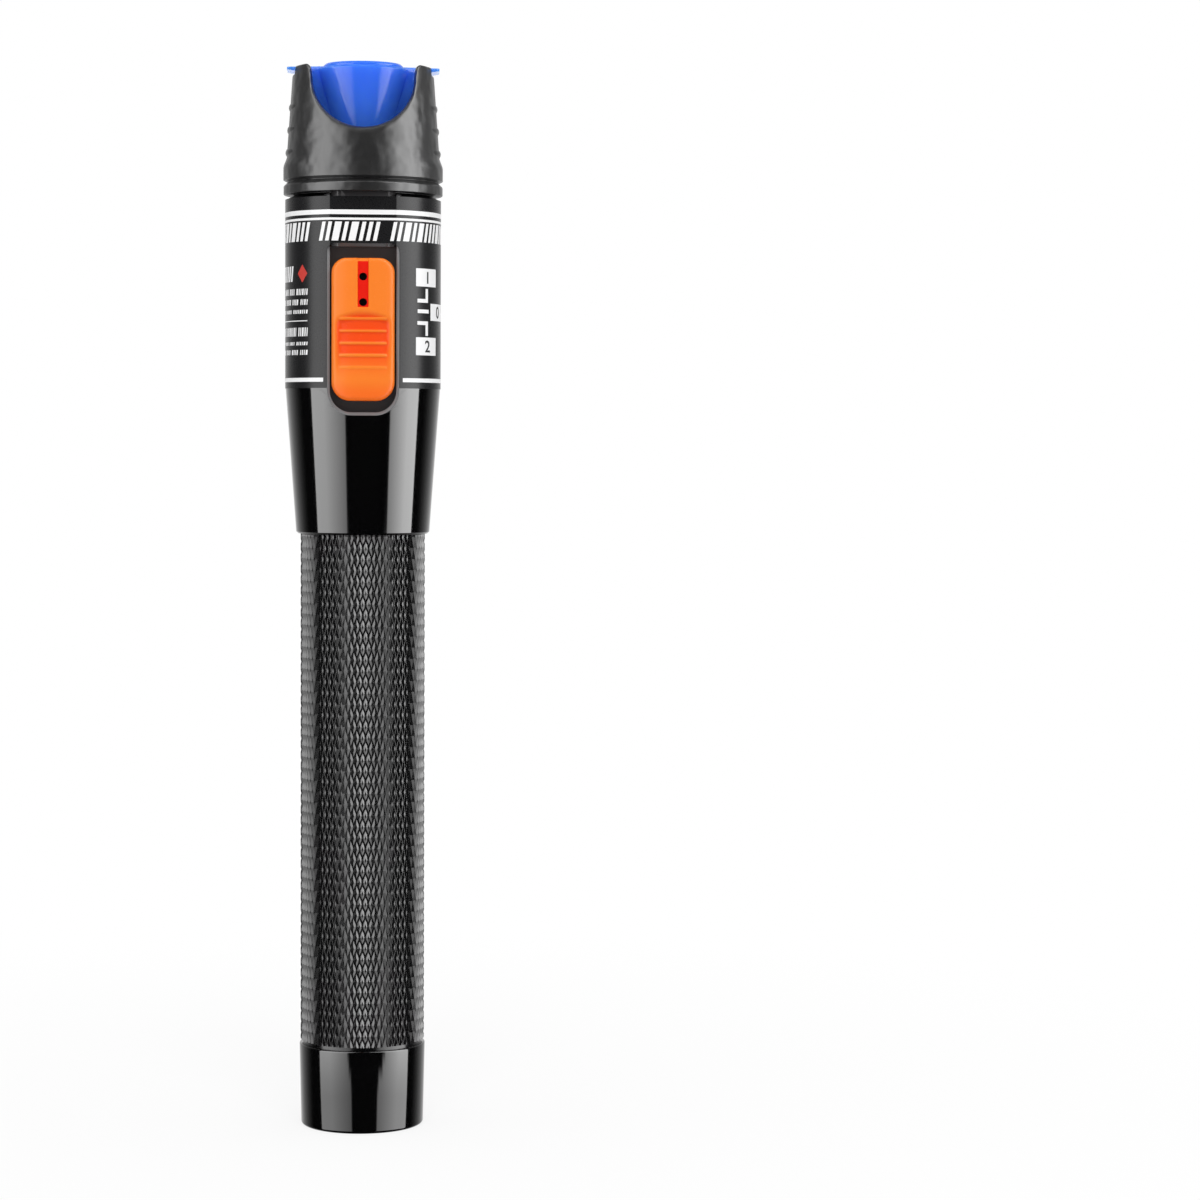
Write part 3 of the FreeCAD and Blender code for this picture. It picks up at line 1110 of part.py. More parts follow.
# --- checks and files ----------------------------------------------------------
def sub_parts():
    """Finished pieces: labelled bodies, primitives and compounds that stand alone."""
    used = {link.Name for holder in DOC.Objects if holder.TypeId == "Part::Compound" for link in holder.Links}
    kinds = ("PartDesign::Body", "Part::Cylinder", "Part::Box", "Part::Compound")
    return [item for item in DOC.Objects if item.TypeId in kinds and item.Name not in used]


def check_model():
    """Stop if an object failed or a piece has no sound shape."""
    for item in DOC.Objects:
        if "Invalid" in item.State or "Error" in item.State:
            raise RuntimeError(f"{item.Name} failed: {item.State}")
    for piece in sub_parts():
        if piece.Shape.isNull() or not piece.Shape.isValid():
            raise RuntimeError(f"{piece.Label} has no sound shape")


def write_parts():
    """One STEP file per piece, named by its label."""
    os.makedirs("parts", exist_ok=True)
    for piece in sub_parts():
        piece.Shape.exportStep(f"parts/{piece.Label}.step")
        print(f"{piece.Label}: {len(piece.Shape.Solids)} solid, {piece.Shape.Volume:.1f} mm3, "
              f"z {piece.Shape.BoundBox.ZMin:.2f} to {piece.Shape.BoundBox.ZMax:.2f}")


fill_sheet()
make_tail_cap()
make_tail_contact()
make_tail_spring()
make_cells()
make_grip_tube()
make_head_shell()
make_label()
make_carrier()
make_button()
make_carriage()
make_switch()
make_board()
make_board_screws()
make_board_parts()
make_positive_contact()
make_laser()
make_port()
make_guard()
make_dust_cap()
DOC.recompute()
check_model()
write_parts()
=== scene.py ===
"""Dress of a visual fault locator: a pen-shaped red-light tester for optical fibre.

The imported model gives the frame, its bodies and its joints. Each class below dresses
one sub-assembly: it holds that sub-assembly's sizes in millimetres, builds its meshes
and gives them their finishes. The pen stands on its tail cap, +Z runs up its axis to
the fibre port and the slide button faces -Y.
"""
import logging
import math
from dataclasses import dataclass
from enum import Enum
from typing import Optional, Sequence, Union

import bmesh
import bpy
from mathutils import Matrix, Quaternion, Vector


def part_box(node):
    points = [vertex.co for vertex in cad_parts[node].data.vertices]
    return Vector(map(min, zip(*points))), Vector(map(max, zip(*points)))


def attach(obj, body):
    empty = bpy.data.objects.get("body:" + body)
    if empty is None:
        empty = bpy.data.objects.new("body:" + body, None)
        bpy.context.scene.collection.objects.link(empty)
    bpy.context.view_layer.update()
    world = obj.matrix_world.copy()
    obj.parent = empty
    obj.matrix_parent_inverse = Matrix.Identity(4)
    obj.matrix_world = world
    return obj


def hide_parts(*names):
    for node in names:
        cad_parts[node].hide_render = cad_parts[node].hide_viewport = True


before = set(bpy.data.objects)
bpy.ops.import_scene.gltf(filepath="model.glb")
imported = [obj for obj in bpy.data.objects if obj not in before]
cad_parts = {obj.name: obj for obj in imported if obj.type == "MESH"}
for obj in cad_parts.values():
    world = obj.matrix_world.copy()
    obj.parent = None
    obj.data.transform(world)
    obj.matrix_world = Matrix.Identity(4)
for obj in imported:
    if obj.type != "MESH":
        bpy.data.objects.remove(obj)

LOG = logging.getLogger("fault_locator")
MM = 0.001
MICRON = 1e-6
SMOOTHEST = 0.02
CLOUD_DETAIL = 3.0
GRAIN_DETAIL = 2.0
RIPPLE_DETAIL = 1.0
MERGE_REACH = 1e-7
CAD_MERGE_REACH = 2e-6
LEVEL_SHARE = 0.02
TURNED_SHARE = 0.05
AXIS_REACH = 1e-4
SPOKE_MATCH = 0.995

WHITE = (1.0, 1.0, 1.0, 1.0)

Colour = tuple[float, float, float]
Pair = tuple[float, float]
Point = tuple[float, float, float]
Outline = list[Pair]
Wire = Union[bpy.types.NodeSocket, float, Sequence[float]]


class Body(Enum):
    """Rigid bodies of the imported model."""

    PEN = "pen"
    SLIDER = "slider"
    FOLLOWER = "tail_follower"
    TAIL = "tail"
    CAP = "cap"


class Grain(Enum):
    """How the fine texture of a finish lies: factors on x, y and z."""

    EVEN = (1.0, 1.0, 1.0)
    TURNED = (0.02, 0.02, 1.0)
    DRAWN = (1.0, 1.0, 0.03)


# --- node trees ----------------------------------------------------------------------
class Wiring:
    """Adds nodes to a tree and wires them by the names of their sockets."""

    def __init__(self, tree: bpy.types.NodeTree) -> None:
        """Takes the tree that the nodes go into."""
        self.tree = tree

    def feed(self, socket: bpy.types.NodeSocket, value: Wire) -> None:
        """Links a socket to another, or sets its value.

        Args:
            socket: The input to feed.
            value: Socket to link to it, or value to set.
        """
        if isinstance(value, bpy.types.NodeSocket):
            self.tree.links.new(value, socket)
        else:
            socket.default_value = value

    def node(self, kind: str, **inputs: Wire) -> bpy.types.Node:
        """Adds a node and feeds its inputs.

        Args:
            kind: Type of the node.
            inputs: What feeds each input, by the socket's name with _ for a space.

        Returns:
            The new node.
        """
        made = self.tree.nodes.new(kind)
        for label, value in inputs.items():
            self.feed(made.inputs[label.replace("_", " ")], value)
        return made

    def math(self, operation: str, *terms: Wire) -> bpy.types.NodeSocket:
        """Adds a Math node.

        Args:
            operation: What the node works out.
            terms: Sockets or numbers that it works on.

        Returns:
            Socket of the result.
        """
        made = self.tree.nodes.new("ShaderNodeMath")
        made.operation = operation
        for socket, term in zip(made.inputs, terms):
            self.feed(socket, term)
        return made.outputs[0]

    def mix(self, share: Wire, first: Wire, second: Wire,
            kind: str = "FLOAT") -> bpy.types.NodeSocket:
        """Adds a Mix node on numbers or colours.

        Args:
            share: Share of the second.
            first: What a share of 0 gives.
            second: What a share of 1 gives.
            kind: FLOAT for numbers or RGBA for colours.

        Returns:
            Socket of the mix.
        """
        made = self.tree.nodes.new("ShaderNodeMix")
        made.data_type = kind
        for label, value in (("Factor", share), ("A", first), ("B", second)):
            self.feed(made.inputs[label], value)
        return made.outputs["Result"]


def bare_material(name: str) -> bpy.types.Material:
    """Starts a node material that has no shader yet.

    Args:
        name: Name of the material.

    Returns:
        The material.
    """
    made = bpy.data.materials.new(name)
    made.use_nodes = True
    made.node_tree.nodes.remove(made.node_tree.nodes["Principled BSDF"])
    return made


# --- finishes ------------------------------------------------------------------------
@dataclass(frozen=True)
class Finish:
    """One surface finish, made as a node material.

    tone and shade are the two colours that a soft cloud mixes; the third colour is a painted
    shade, laid in where the mesh's attribute for it is 1. Sizes and scatter are in
    millimetres, grain_depth in micrometres. ripple is the depth, in micrometres, of the slow
    unevenness that a moulding has.
    """

    name: str
    slot: str
    tone: Colour
    shade: Colour
    roughness: float
    polish: float = 0.04
    metallic: float = 0.0
    ior: float = 1.5
    coat: float = 0.0
    coat_roughness: float = 0.05
    grain: Grain = Grain.EVEN
    grain_size: float = 0.25
    grain_depth: float = 3.0
    cloud_size: float = 6.0
    transmission: float = 0.0
    subsurface: float = 0.0
    scatter: float = 0.6
    scatter_tint: Colour = (0.8, 0.9, 1.0)
    ripple: float = 0.0
    ripple_size: float = 2.2
    # colour of painted shade, laid in where the mesh's attribute for it is 1
    painted_hollow_shade: Optional[Colour] = None

    def material(self) -> bpy.types.Material:
        """Builds the material once, and returns it.

        Returns:
            The node material of this finish.
        """
        known = bpy.data.materials.get(self.name)
        if known is not None:
            return known
        made = bpy.data.materials.new(self.name)
        made.use_nodes = True
        wiring = Wiring(made.node_tree)
        shader = made.node_tree.nodes["Principled BSDF"]
        for label, value in self.even_inputs().items():
            shader.inputs[label].default_value = value
        place = wiring.node("ShaderNodeTexCoord").outputs["Object"]
        cloud = self.noise(wiring, place, self.cloud_size, Grain.EVEN, CLOUD_DETAIL)
        colour = wiring.mix(cloud, (*self.tone, 1.0), (*self.shade, 1.0), "RGBA")
        # painted shade: the deeper colour goes where the mesh's attribute says
        if self.painted_hollow_shade is not None:
            deep = wiring.node("ShaderNodeAttribute")
            deep.attribute_name = "painted_hollow_shade"
            colour = wiring.mix(deep.outputs["Fac"], colour, (*self.painted_hollow_shade, 1.0), "RGBA")
        fine = self.noise(wiring, place, self.grain_size, self.grain, GRAIN_DETAIL)
        span = wiring.node("ShaderNodeMapRange", Value=fine, To_Max=self.roughness + self.polish,
                           To_Min=max(self.roughness - self.polish, SMOOTHEST))
        bump = wiring.node("ShaderNodeBump", Height=fine, Distance=self.grain_depth * MICRON,
                           Strength=1.0)
        if self.ripple:
            swell = self.noise(wiring, place, self.ripple_size, Grain.EVEN, RIPPLE_DETAIL)
            slow = wiring.node("ShaderNodeBump", Height=swell, Distance=self.ripple * MICRON)
            wiring.feed(bump.inputs["Normal"], slow.outputs["Normal"])
        wiring.feed(shader.inputs["Base Color"], colour)
        wiring.feed(shader.inputs["Roughness"], span.outputs["Result"])
        wiring.feed(shader.inputs["Normal"], bump.outputs["Normal"])
        return made

    def even_inputs(self) -> dict[str, Wire]:
        """Collects what is the same all over the surface.

        Returns:
            Values of the shader's inputs, by name.
        """
        inputs: dict[str, Wire] = {
            "Metallic": self.metallic, "IOR": self.ior, "Coat Weight": self.coat,
            "Coat Roughness": self.coat_roughness, "Transmission Weight": self.transmission}
        if self.subsurface:
            inputs["Subsurface Weight"] = self.subsurface
            inputs["Subsurface Scale"] = self.scatter * MM
            inputs["Subsurface Radius"] = self.scatter_tint
        return inputs

    def noise(self, wiring: Wiring, place: bpy.types.NodeSocket, size: float, grain: Grain,
              detail: float) -> bpy.types.NodeSocket:
        """Adds noise on Object coordinates.

        Args:
            wiring: Wiring of the material.
            place: Socket of the Object coordinates.
            size: Size of the noise's features, in millimetres.
            grain: Direction of the grain.
            detail: Octaves of the noise.

        Returns:
            Socket of the noise.
        """
        stretch = wiring.node("ShaderNodeMapping", Vector=place,
                              Scale=[factor / (size * MM) for factor in grain.value])
        return wiring.node("ShaderNodeTexNoise", Vector=stretch.outputs["Vector"], Scale=1.0,
                           Detail=detail).outputs["Fac"]

    def dress(self, piece: bpy.types.Object) -> None:
        """Gives a piece this finish alone.

        Args:
            piece: The piece to dress.
        """
        piece.data.materials.clear()
        piece.data.materials.append(self.material())

    def coat_node(self, node: str) -> None:
        """Gives this finish to a CAD node, whose mesh stays as it is.

        Args:
            node: Name of the CAD node.
        """
        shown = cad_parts[node]
        for place in shown.material_slots:
            place.material = self.material()
        if not shown.material_slots:
            shown.data.materials.append(self.material())


GLOSS_ANODISED = Finish("gloss_anodised", "gloss_aluminium", (0.0016, 0.0016, 0.0018),
                        (0.0024, 0.0024, 0.0026), 0.07, polish=0.015, ior=2.0, grain=Grain.TURNED,
                        grain_size=0.12, grain_depth=0.06)
KNURL_ANODISED = Finish("knurl_anodised", "knurled_aluminium", (0.004, 0.004, 0.0045),
                        (0.007, 0.007, 0.0075), 0.16, polish=0.04, ior=1.9, grain_size=0.08,
                        grain_depth=1.0)
THREAD_ANODISED = Finish("thread_anodised", "gloss_aluminium", (0.016, 0.016, 0.017),
                         (0.024, 0.024, 0.025), 0.32, ior=1.8, grain=Grain.TURNED, grain_size=0.1,
                         grain_depth=1.0)
FILM = Finish("label_satin", "label_film", (0.010, 0.010, 0.011), (0.013, 0.013, 0.014), 0.28,
              ior=1.43, grain_size=0.10, grain_depth=0.6)
WHITE_INK = Finish("white_ink", "label_film", (0.93, 0.93, 0.93), (0.88, 0.88, 0.89), 0.42,
                   grain_size=0.12, grain_depth=0.8)
RED_INK = Finish("red_ink", "label_film", (0.62, 0.03, 0.015), (0.52, 0.02, 0.012), 0.42,
                 grain_size=0.12, grain_depth=0.8)
# dark print; the button's holes get it too, as painted shade
DARK_INK_AND_HOLE_SHADE = Finish("dark_ink_and_hole_shade", "label_film", (0.008, 0.008, 0.009), (0.012, 0.012, 0.013), 0.42,
                  grain_size=0.12, grain_depth=0.8)
GUARD_PLASTIC = Finish("guard_moulding", "guard_plastic", (0.008, 0.008, 0.0085),
                       (0.012, 0.012, 0.0125), 0.36, polish=0.05, ior=1.95, grain_size=0.18,
                       grain_depth=1.5, cloud_size=9.0, ripple=260.0, ripple_size=2.8)
BLACK_PLASTIC = Finish("black_moulding", "black_plastic", (0.008, 0.0075, 0.007),
                       (0.012, 0.011, 0.010), 0.20, grain_size=0.2, grain_depth=1.0)
# pale grey painted as a highlight on the bevel round the window
BEVEL_PAINTED_HIGHLIGHT = Finish("bevel_painted_highlight", "gloss_aluminium", (0.15, 0.15, 0.155), (0.19, 0.19, 0.195), 0.40,
                   grain_size=0.1, grain_depth=0.8)
SATIN_BLACK = Finish("satin_black_moulding", "black_plastic", (0.075, 0.072, 0.075),
                     (0.085, 0.082, 0.085), 0.32, grain_size=0.2, grain_depth=1.0)
# orange moulding; its third colour is painted shade, a deeper orange in the scoop and at the foot
ORANGE_PLASTIC = Finish("orange_moulding", "orange_plastic", (0.95, 0.225, 0.018),
                        (0.92, 0.20, 0.014), 0.26, ior=1.38, grain_size=0.15, grain_depth=0.8,
                        cloud_size=4.0, painted_hollow_shade=(0.92, 0.070, 0.001))
RED_GROOVE = Finish("red_groove", "orange_plastic", (0.82, 0.012, 0.001), (0.72, 0.006, 0.001),
                    0.45, ior=1.2, grain_size=0.15, grain_depth=1.5)
BLUE_PLASTIC = Finish("blue_moulding", "blue_plastic", (0.050, 0.180, 0.86), (0.046, 0.167, 0.81),
                      0.16, polish=0.03, grain_size=0.2, grain_depth=0.4, cloud_size=5.0,
                      subsurface=0.95, scatter=4.5)
BRASS = Finish("turned_brass", "brass", (0.74, 0.52, 0.20), (0.66, 0.44, 0.16), 0.22, metallic=1.0,
               grain=Grain.TURNED, grain_size=0.08, grain_depth=1.0)
SPRING_WIRE = Finish("spring_wire", "spring_steel", (0.60, 0.60, 0.62), (0.48, 0.48, 0.50), 0.24,
                     metallic=1.0, grain_size=0.1, grain_depth=1.0)
PLATED_STEEL = Finish("plated_steel", "steel", (0.60, 0.60, 0.61), (0.50, 0.50, 0.51), 0.28,
                      metallic=1.0, grain=Grain.DRAWN, grain_size=0.15, grain_depth=1.0)
CELL_JACKET = Finish("cell_jacket", "cell_jacket", (0.035, 0.037, 0.042), (0.050, 0.052, 0.058),
                     0.25, grain_size=0.3, grain_depth=1.0, coat=0.4)
BOARD_MASK = Finish("solder_mask", "board_green", (0.012, 0.15, 0.045), (0.02, 0.26, 0.09), 0.30,
                    grain_size=0.6, grain_depth=6.0, cloud_size=1.2, coat=0.3)
CHIP_BLACK = Finish("chip_moulding", "chip_black", (0.018, 0.018, 0.019), (0.026, 0.026, 0.027),
                    0.5, grain_size=0.1, grain_depth=3.0)
CAPACITOR_TAN = Finish("capacitor_body", "capacitor_tan", (0.56, 0.40, 0.12), (0.46, 0.32, 0.09),
                       0.42, grain_size=0.2, grain_depth=2.0)
GOLD_PLATE = Finish("gold_plate", "gold_plate", (0.86, 0.62, 0.24), (0.78, 0.54, 0.18), 0.16,
                    metallic=1.0, grain_size=0.1, grain_depth=0.6)
LENS_GLASS = Finish("lens_glass", "lens_glass", (0.93, 0.97, 0.97), (0.90, 0.95, 0.96), 0.04,
                    polish=0.01, transmission=1.0, ior=1.52, grain_size=0.4, grain_depth=0.05)
NICKEL = Finish("nickel_plate", "nickel_plate", (0.68, 0.66, 0.62), (0.60, 0.58, 0.54), 0.16,
                metallic=1.0, grain=Grain.TURNED, grain_size=0.06, grain_depth=0.6)
CERAMIC = Finish("ground_zirconia", "white_ceramic", (0.88, 0.86, 0.80), (0.84, 0.81, 0.75), 0.18,
                 grain_size=0.1, grain_depth=0.5, subsurface=0.1)


# --- mesh tools ----------------------------------------------------------------------
def place_object(name: str, mesh: bpy.types.Mesh) -> bpy.types.Object:
    """Links a mesh to the scene as an object at the origin.

    Args:
        name: Name of the piece.
        mesh: Its mesh, in metres.

    Returns:
        The new object.
    """
    piece = bpy.data.objects.new(name, mesh)
    bpy.context.scene.collection.objects.link(piece)
    return piece


def mesh_piece(name: str, points: Sequence[Point], faces: Sequence[Sequence[int]],
               sharp: float = 30.0) -> bpy.types.Object:
    """Makes a piece from points in millimetres, with its faces turned outwards.

    Args:
        name: Name of the piece.
        points: Corners in millimetres.
        faces: Indices of the corners of each face.
        sharp: Angle in degrees from which an edge is sharp.

    Returns:
        The new object.
    """
    mesh = bpy.data.meshes.new(name)
    mesh.from_pydata([Vector(point) * MM for point in points], [], faces)
    work = bmesh.new()
    work.from_mesh(mesh)
    bmesh.ops.remove_doubles(work, verts=work.verts, dist=MERGE_REACH)
    bmesh.ops.recalc_face_normals(work, faces=work.faces)
    work.to_mesh(mesh)
    work.free()
    mesh.shade_smooth()
    mesh.set_sharp_from_angle(angle=math.radians(sharp))
    return place_object(name, mesh)


def ease(start: float, stop: float, value: float) -> float:
    """Smooth step from 0 at start to 1 at stop."""
    part = min(1.0, max(0.0, (value - start) / (stop - start)))
    return part * part * (3 - 2 * part)


def bend(first: Sequence[Vector], corner: Sequence[Vector], last: Sequence[Vector],
         steps: int) -> list[list[Vector]]:
    """Rings that round a corner between two rings.

    Args:
        first: Ring at which the round begins.
        corner: Ring of the sharp corner.
        last: Ring at which the round ends.
        steps: Number of rings to make, the last one included.

    Returns:
        The rings after the first one.
    """
    rings = []
    for step in range(1, steps + 1):
        part = step / steps
        rings.append([a * (1 - part) ** 2 + b * 2 * part * (1 - part) + c * part ** 2
                      for a, b, c in zip(first, corner, last)])
    return rings


def rounded(profile: Sequence[Sequence[float]], steps: int = 4) -> list[Pair]:
    """Rounds the corners of a closed profile.

    Args:
        profile: Corners as (radius, level) or (radius, level, fillet), in millimetres.
        steps: Segments of each fillet.

    Returns:
        The profile with its fillets as points.
    """
    result: list[Pair] = []
    count = len(profile)
    for index, corner in enumerate(profile):
        here = Vector(corner[:2])
        if len(corner) < 3:
            result.append((here.x, here.y))
            continue
        back = (Vector(profile[index - 1][:2]) - here).normalized()
        ahead = (Vector(profile[(index + 1) % count][:2]) - here).normalized()
        half = math.acos(max(-1.0, min(1.0, back.dot(ahead)))) / 2
        reach = corner[2] / math.tan(half)
        centre = here + (back + ahead).normalized() * (corner[2] / math.sin(half))
        first, last = here + back * reach - centre, here + ahead * reach - centre
        for step in range(steps + 1):
            spoke = first.slerp(last, step / steps).normalized() * corner[2]
            result.append(((centre + spoke).x, (centre + spoke).y))
    return result


def turned_piece(name: str, profile: Sequence[Sequence[float]], segments: int = 128,
                 sharp: float = 28.0) -> bpy.types.Object:
    """Turns a closed profile about the pen's axis.

    Args:
        name: Name of the piece.
        profile: Corners as for rounded().
        segments: Segments of the full turn.
        sharp: Angle in degrees from which an edge is sharp.

    Returns:
        The new object.
    """
    section = rounded(profile)
    points: list[Point] = []
    rings: list[list[int]] = []
    for radius, level in section:
        if radius < 1e-6:
            rings.append([len(points)] * segments)
            points.append((0.0, 0.0, level))
            continue
        rings.append(list(range(len(points), len(points) + segments)))
        for step in range(segments):
            angle = 2 * math.pi * step / segments
            points.append((radius * math.cos(angle), radius * math.sin(angle), level))
    faces = []
    for index, ring in enumerate(rings):
        following = rings[(index + 1) % len(rings)]
        for step in range(segments):
            ahead = (step + 1) % segments
            face = list(dict.fromkeys((ring[step], ring[ahead], following[ahead], following[step])))
            if len(face) > 2:
                faces.append(face)
    return mesh_piece(name, points, faces, sharp)


def fair_copy(node: str, name: str, sharp: float = 32.0) -> bpy.types.Object:
    """Copies a CAD node with its facets joined and its round faces shaded round.

    A face that belongs to a surface turned about the pen's axis gets that surface's
    own normals, so a polished taper mirrors without waves, and a level face is flat.

    Args:
        node: Name of the CAD node.
        name: Name of the new piece.
        sharp: Angle in degrees from which an edge is sharp.

    Returns:
        The new object.
    """
    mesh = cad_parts[node].data.copy()
    mesh.name = name
    work = bmesh.new()
    work.from_mesh(mesh)
    bmesh.ops.remove_doubles(work, verts=work.verts, dist=CAD_MERGE_REACH)
    bmesh.ops.dissolve_degenerate(work, edges=work.edges, dist=MERGE_REACH)
    work.to_mesh(mesh)
    work.free()
    mesh.shade_smooth()
    mesh.set_sharp_from_angle(angle=math.radians(sharp))
    set_turned_normals(mesh)
    return place_object(name, mesh)


def set_turned_normals(mesh: bpy.types.Mesh, flat_half: float = 0.0) -> None:
    """Gives faces that are turned about the pen's axis their surface's own normals.

    Args:
        mesh: The mesh to change.
        flat_half: Half the width of a flat strip in front that is left as it is, in metres.
    """
    normals = [corner.vector.copy() for corner in mesh.corner_normals]
    for face in mesh.polygons:
        if face.center.y < 0 and abs(face.center.x) < flat_half:
            continue
        across = Vector((face.normal.x, face.normal.y, 0.0))
        centre = Vector((face.center.x, face.center.y, 0.0))
        if across.length < LEVEL_SHARE:
            for corner in face.loop_indices:
                normals[corner] = face.normal.copy()
        if across.length < TURNED_SHARE or centre.length < AXIS_REACH:
            continue
        side = across.normalized().dot(centre.normalized())
        if abs(side) < SPOKE_MATCH:
            continue
        for corner in face.loop_indices:
            place = mesh.vertices[mesh.loops[corner].vertex_index].co
            lean = math.copysign(across.length, side)
            spoke = Vector((place.x, place.y, 0.0)).normalized() * lean
            normals[corner] = Vector((spoke.x, spoke.y, face.normal.z)).normalized()
    mesh.normals_split_custom_set(normals)


def put_on(body: Body, finish: Finish, piece: bpy.types.Object, *nodes: str) -> bpy.types.Object:
    """Dresses a piece, lets it ride on a body and stand for CAD nodes.

    Args:
        body: Body that carries the piece.
        finish: Finish of the piece.
        piece: The piece.
        nodes: CAD nodes that it stands for.

    Returns:
        The same piece.
    """
    finish.dress(piece)
    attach(piece, body.value)
    if nodes:
        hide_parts(*nodes)
    LOG.info("%s: %d faces on %s", piece.name, len(piece.data.polygons), body.value)
    return piece


# --- node recipes --------------------------------------------------------------------
class Recipe(Wiring):
    """A Geometry Nodes tree that is built in steps and baked to a plain mesh."""

    def __init__(self, name: str) -> None:
        """Starts an empty tree with a geometry output.

        Args:
            name: Name of the tree and of the piece that it makes.
        """
        super().__init__(bpy.data.node_groups.new(name, "GeometryNodeTree"))
        self.name = name
        self.tree.interface.new_socket("Geometry", in_out="OUTPUT",
                                       socket_type="NodeSocketGeometry")
        self.source = self.tree.nodes.new("NodeGroupInput")
        self.sink = self.tree.nodes.new("NodeGroupOutput")
        self.given: dict[str, float] = {}
        self.keys: dict[str, str] = {}

    def size(self, label: str, value: float) -> bpy.types.NodeSocket:
        """Adds a named input for a size.

        Args:
            label: Name of the input.
            value: Its value; a whole number makes a whole-number input.

        Returns:
            Socket that gives the size inside the tree.
        """
        kind = "NodeSocketInt" if isinstance(value, int) else "NodeSocketFloat"
        made = self.tree.interface.new_socket(label, in_out="INPUT", socket_type=kind)
        self.keys[label] = made.identifier
        self.given[label] = value
        return self.source.outputs[label]

    def vector(self, x: Wire = 0.0, y: Wire = 0.0, z: Wire = 0.0) -> bpy.types.NodeSocket:
        """Joins three sockets or numbers into a vector."""
        return self.node("ShaderNodeCombineXYZ", X=x, Y=y, Z=z).outputs[0]

    def bake(self, geometry: bpy.types.NodeSocket, finish: Finish) -> bpy.types.Object:
        """Ends the tree and turns its result into a plain mesh object.

        Args:
            geometry: The tree's last geometry.
            finish: Finish set by the tree.

        Returns:
            An object with a plain mesh.
        """
        real = self.node("GeometryNodeRealizeInstances", Geometry=geometry)
        dressed = self.node("GeometryNodeSetMaterial", Geometry=real.outputs[0])
        dressed.inputs["Material"].default_value = finish.material()
        self.tree.links.new(dressed.outputs[0], self.sink.inputs[0])
        host = place_object(f"{self.name}_host", bpy.data.meshes.new(f"{self.name}_host"))
        modifier = host.modifiers.new(self.name, "NODES")
        modifier.node_group = self.tree
        for label, value in self.given.items():
            modifier[self.keys[label]] = value
        seen = host.evaluated_get(bpy.context.evaluated_depsgraph_get())
        mesh = bpy.data.meshes.new_from_object(seen)
        bpy.data.objects.remove(host)
        return place_object(self.name, mesh)


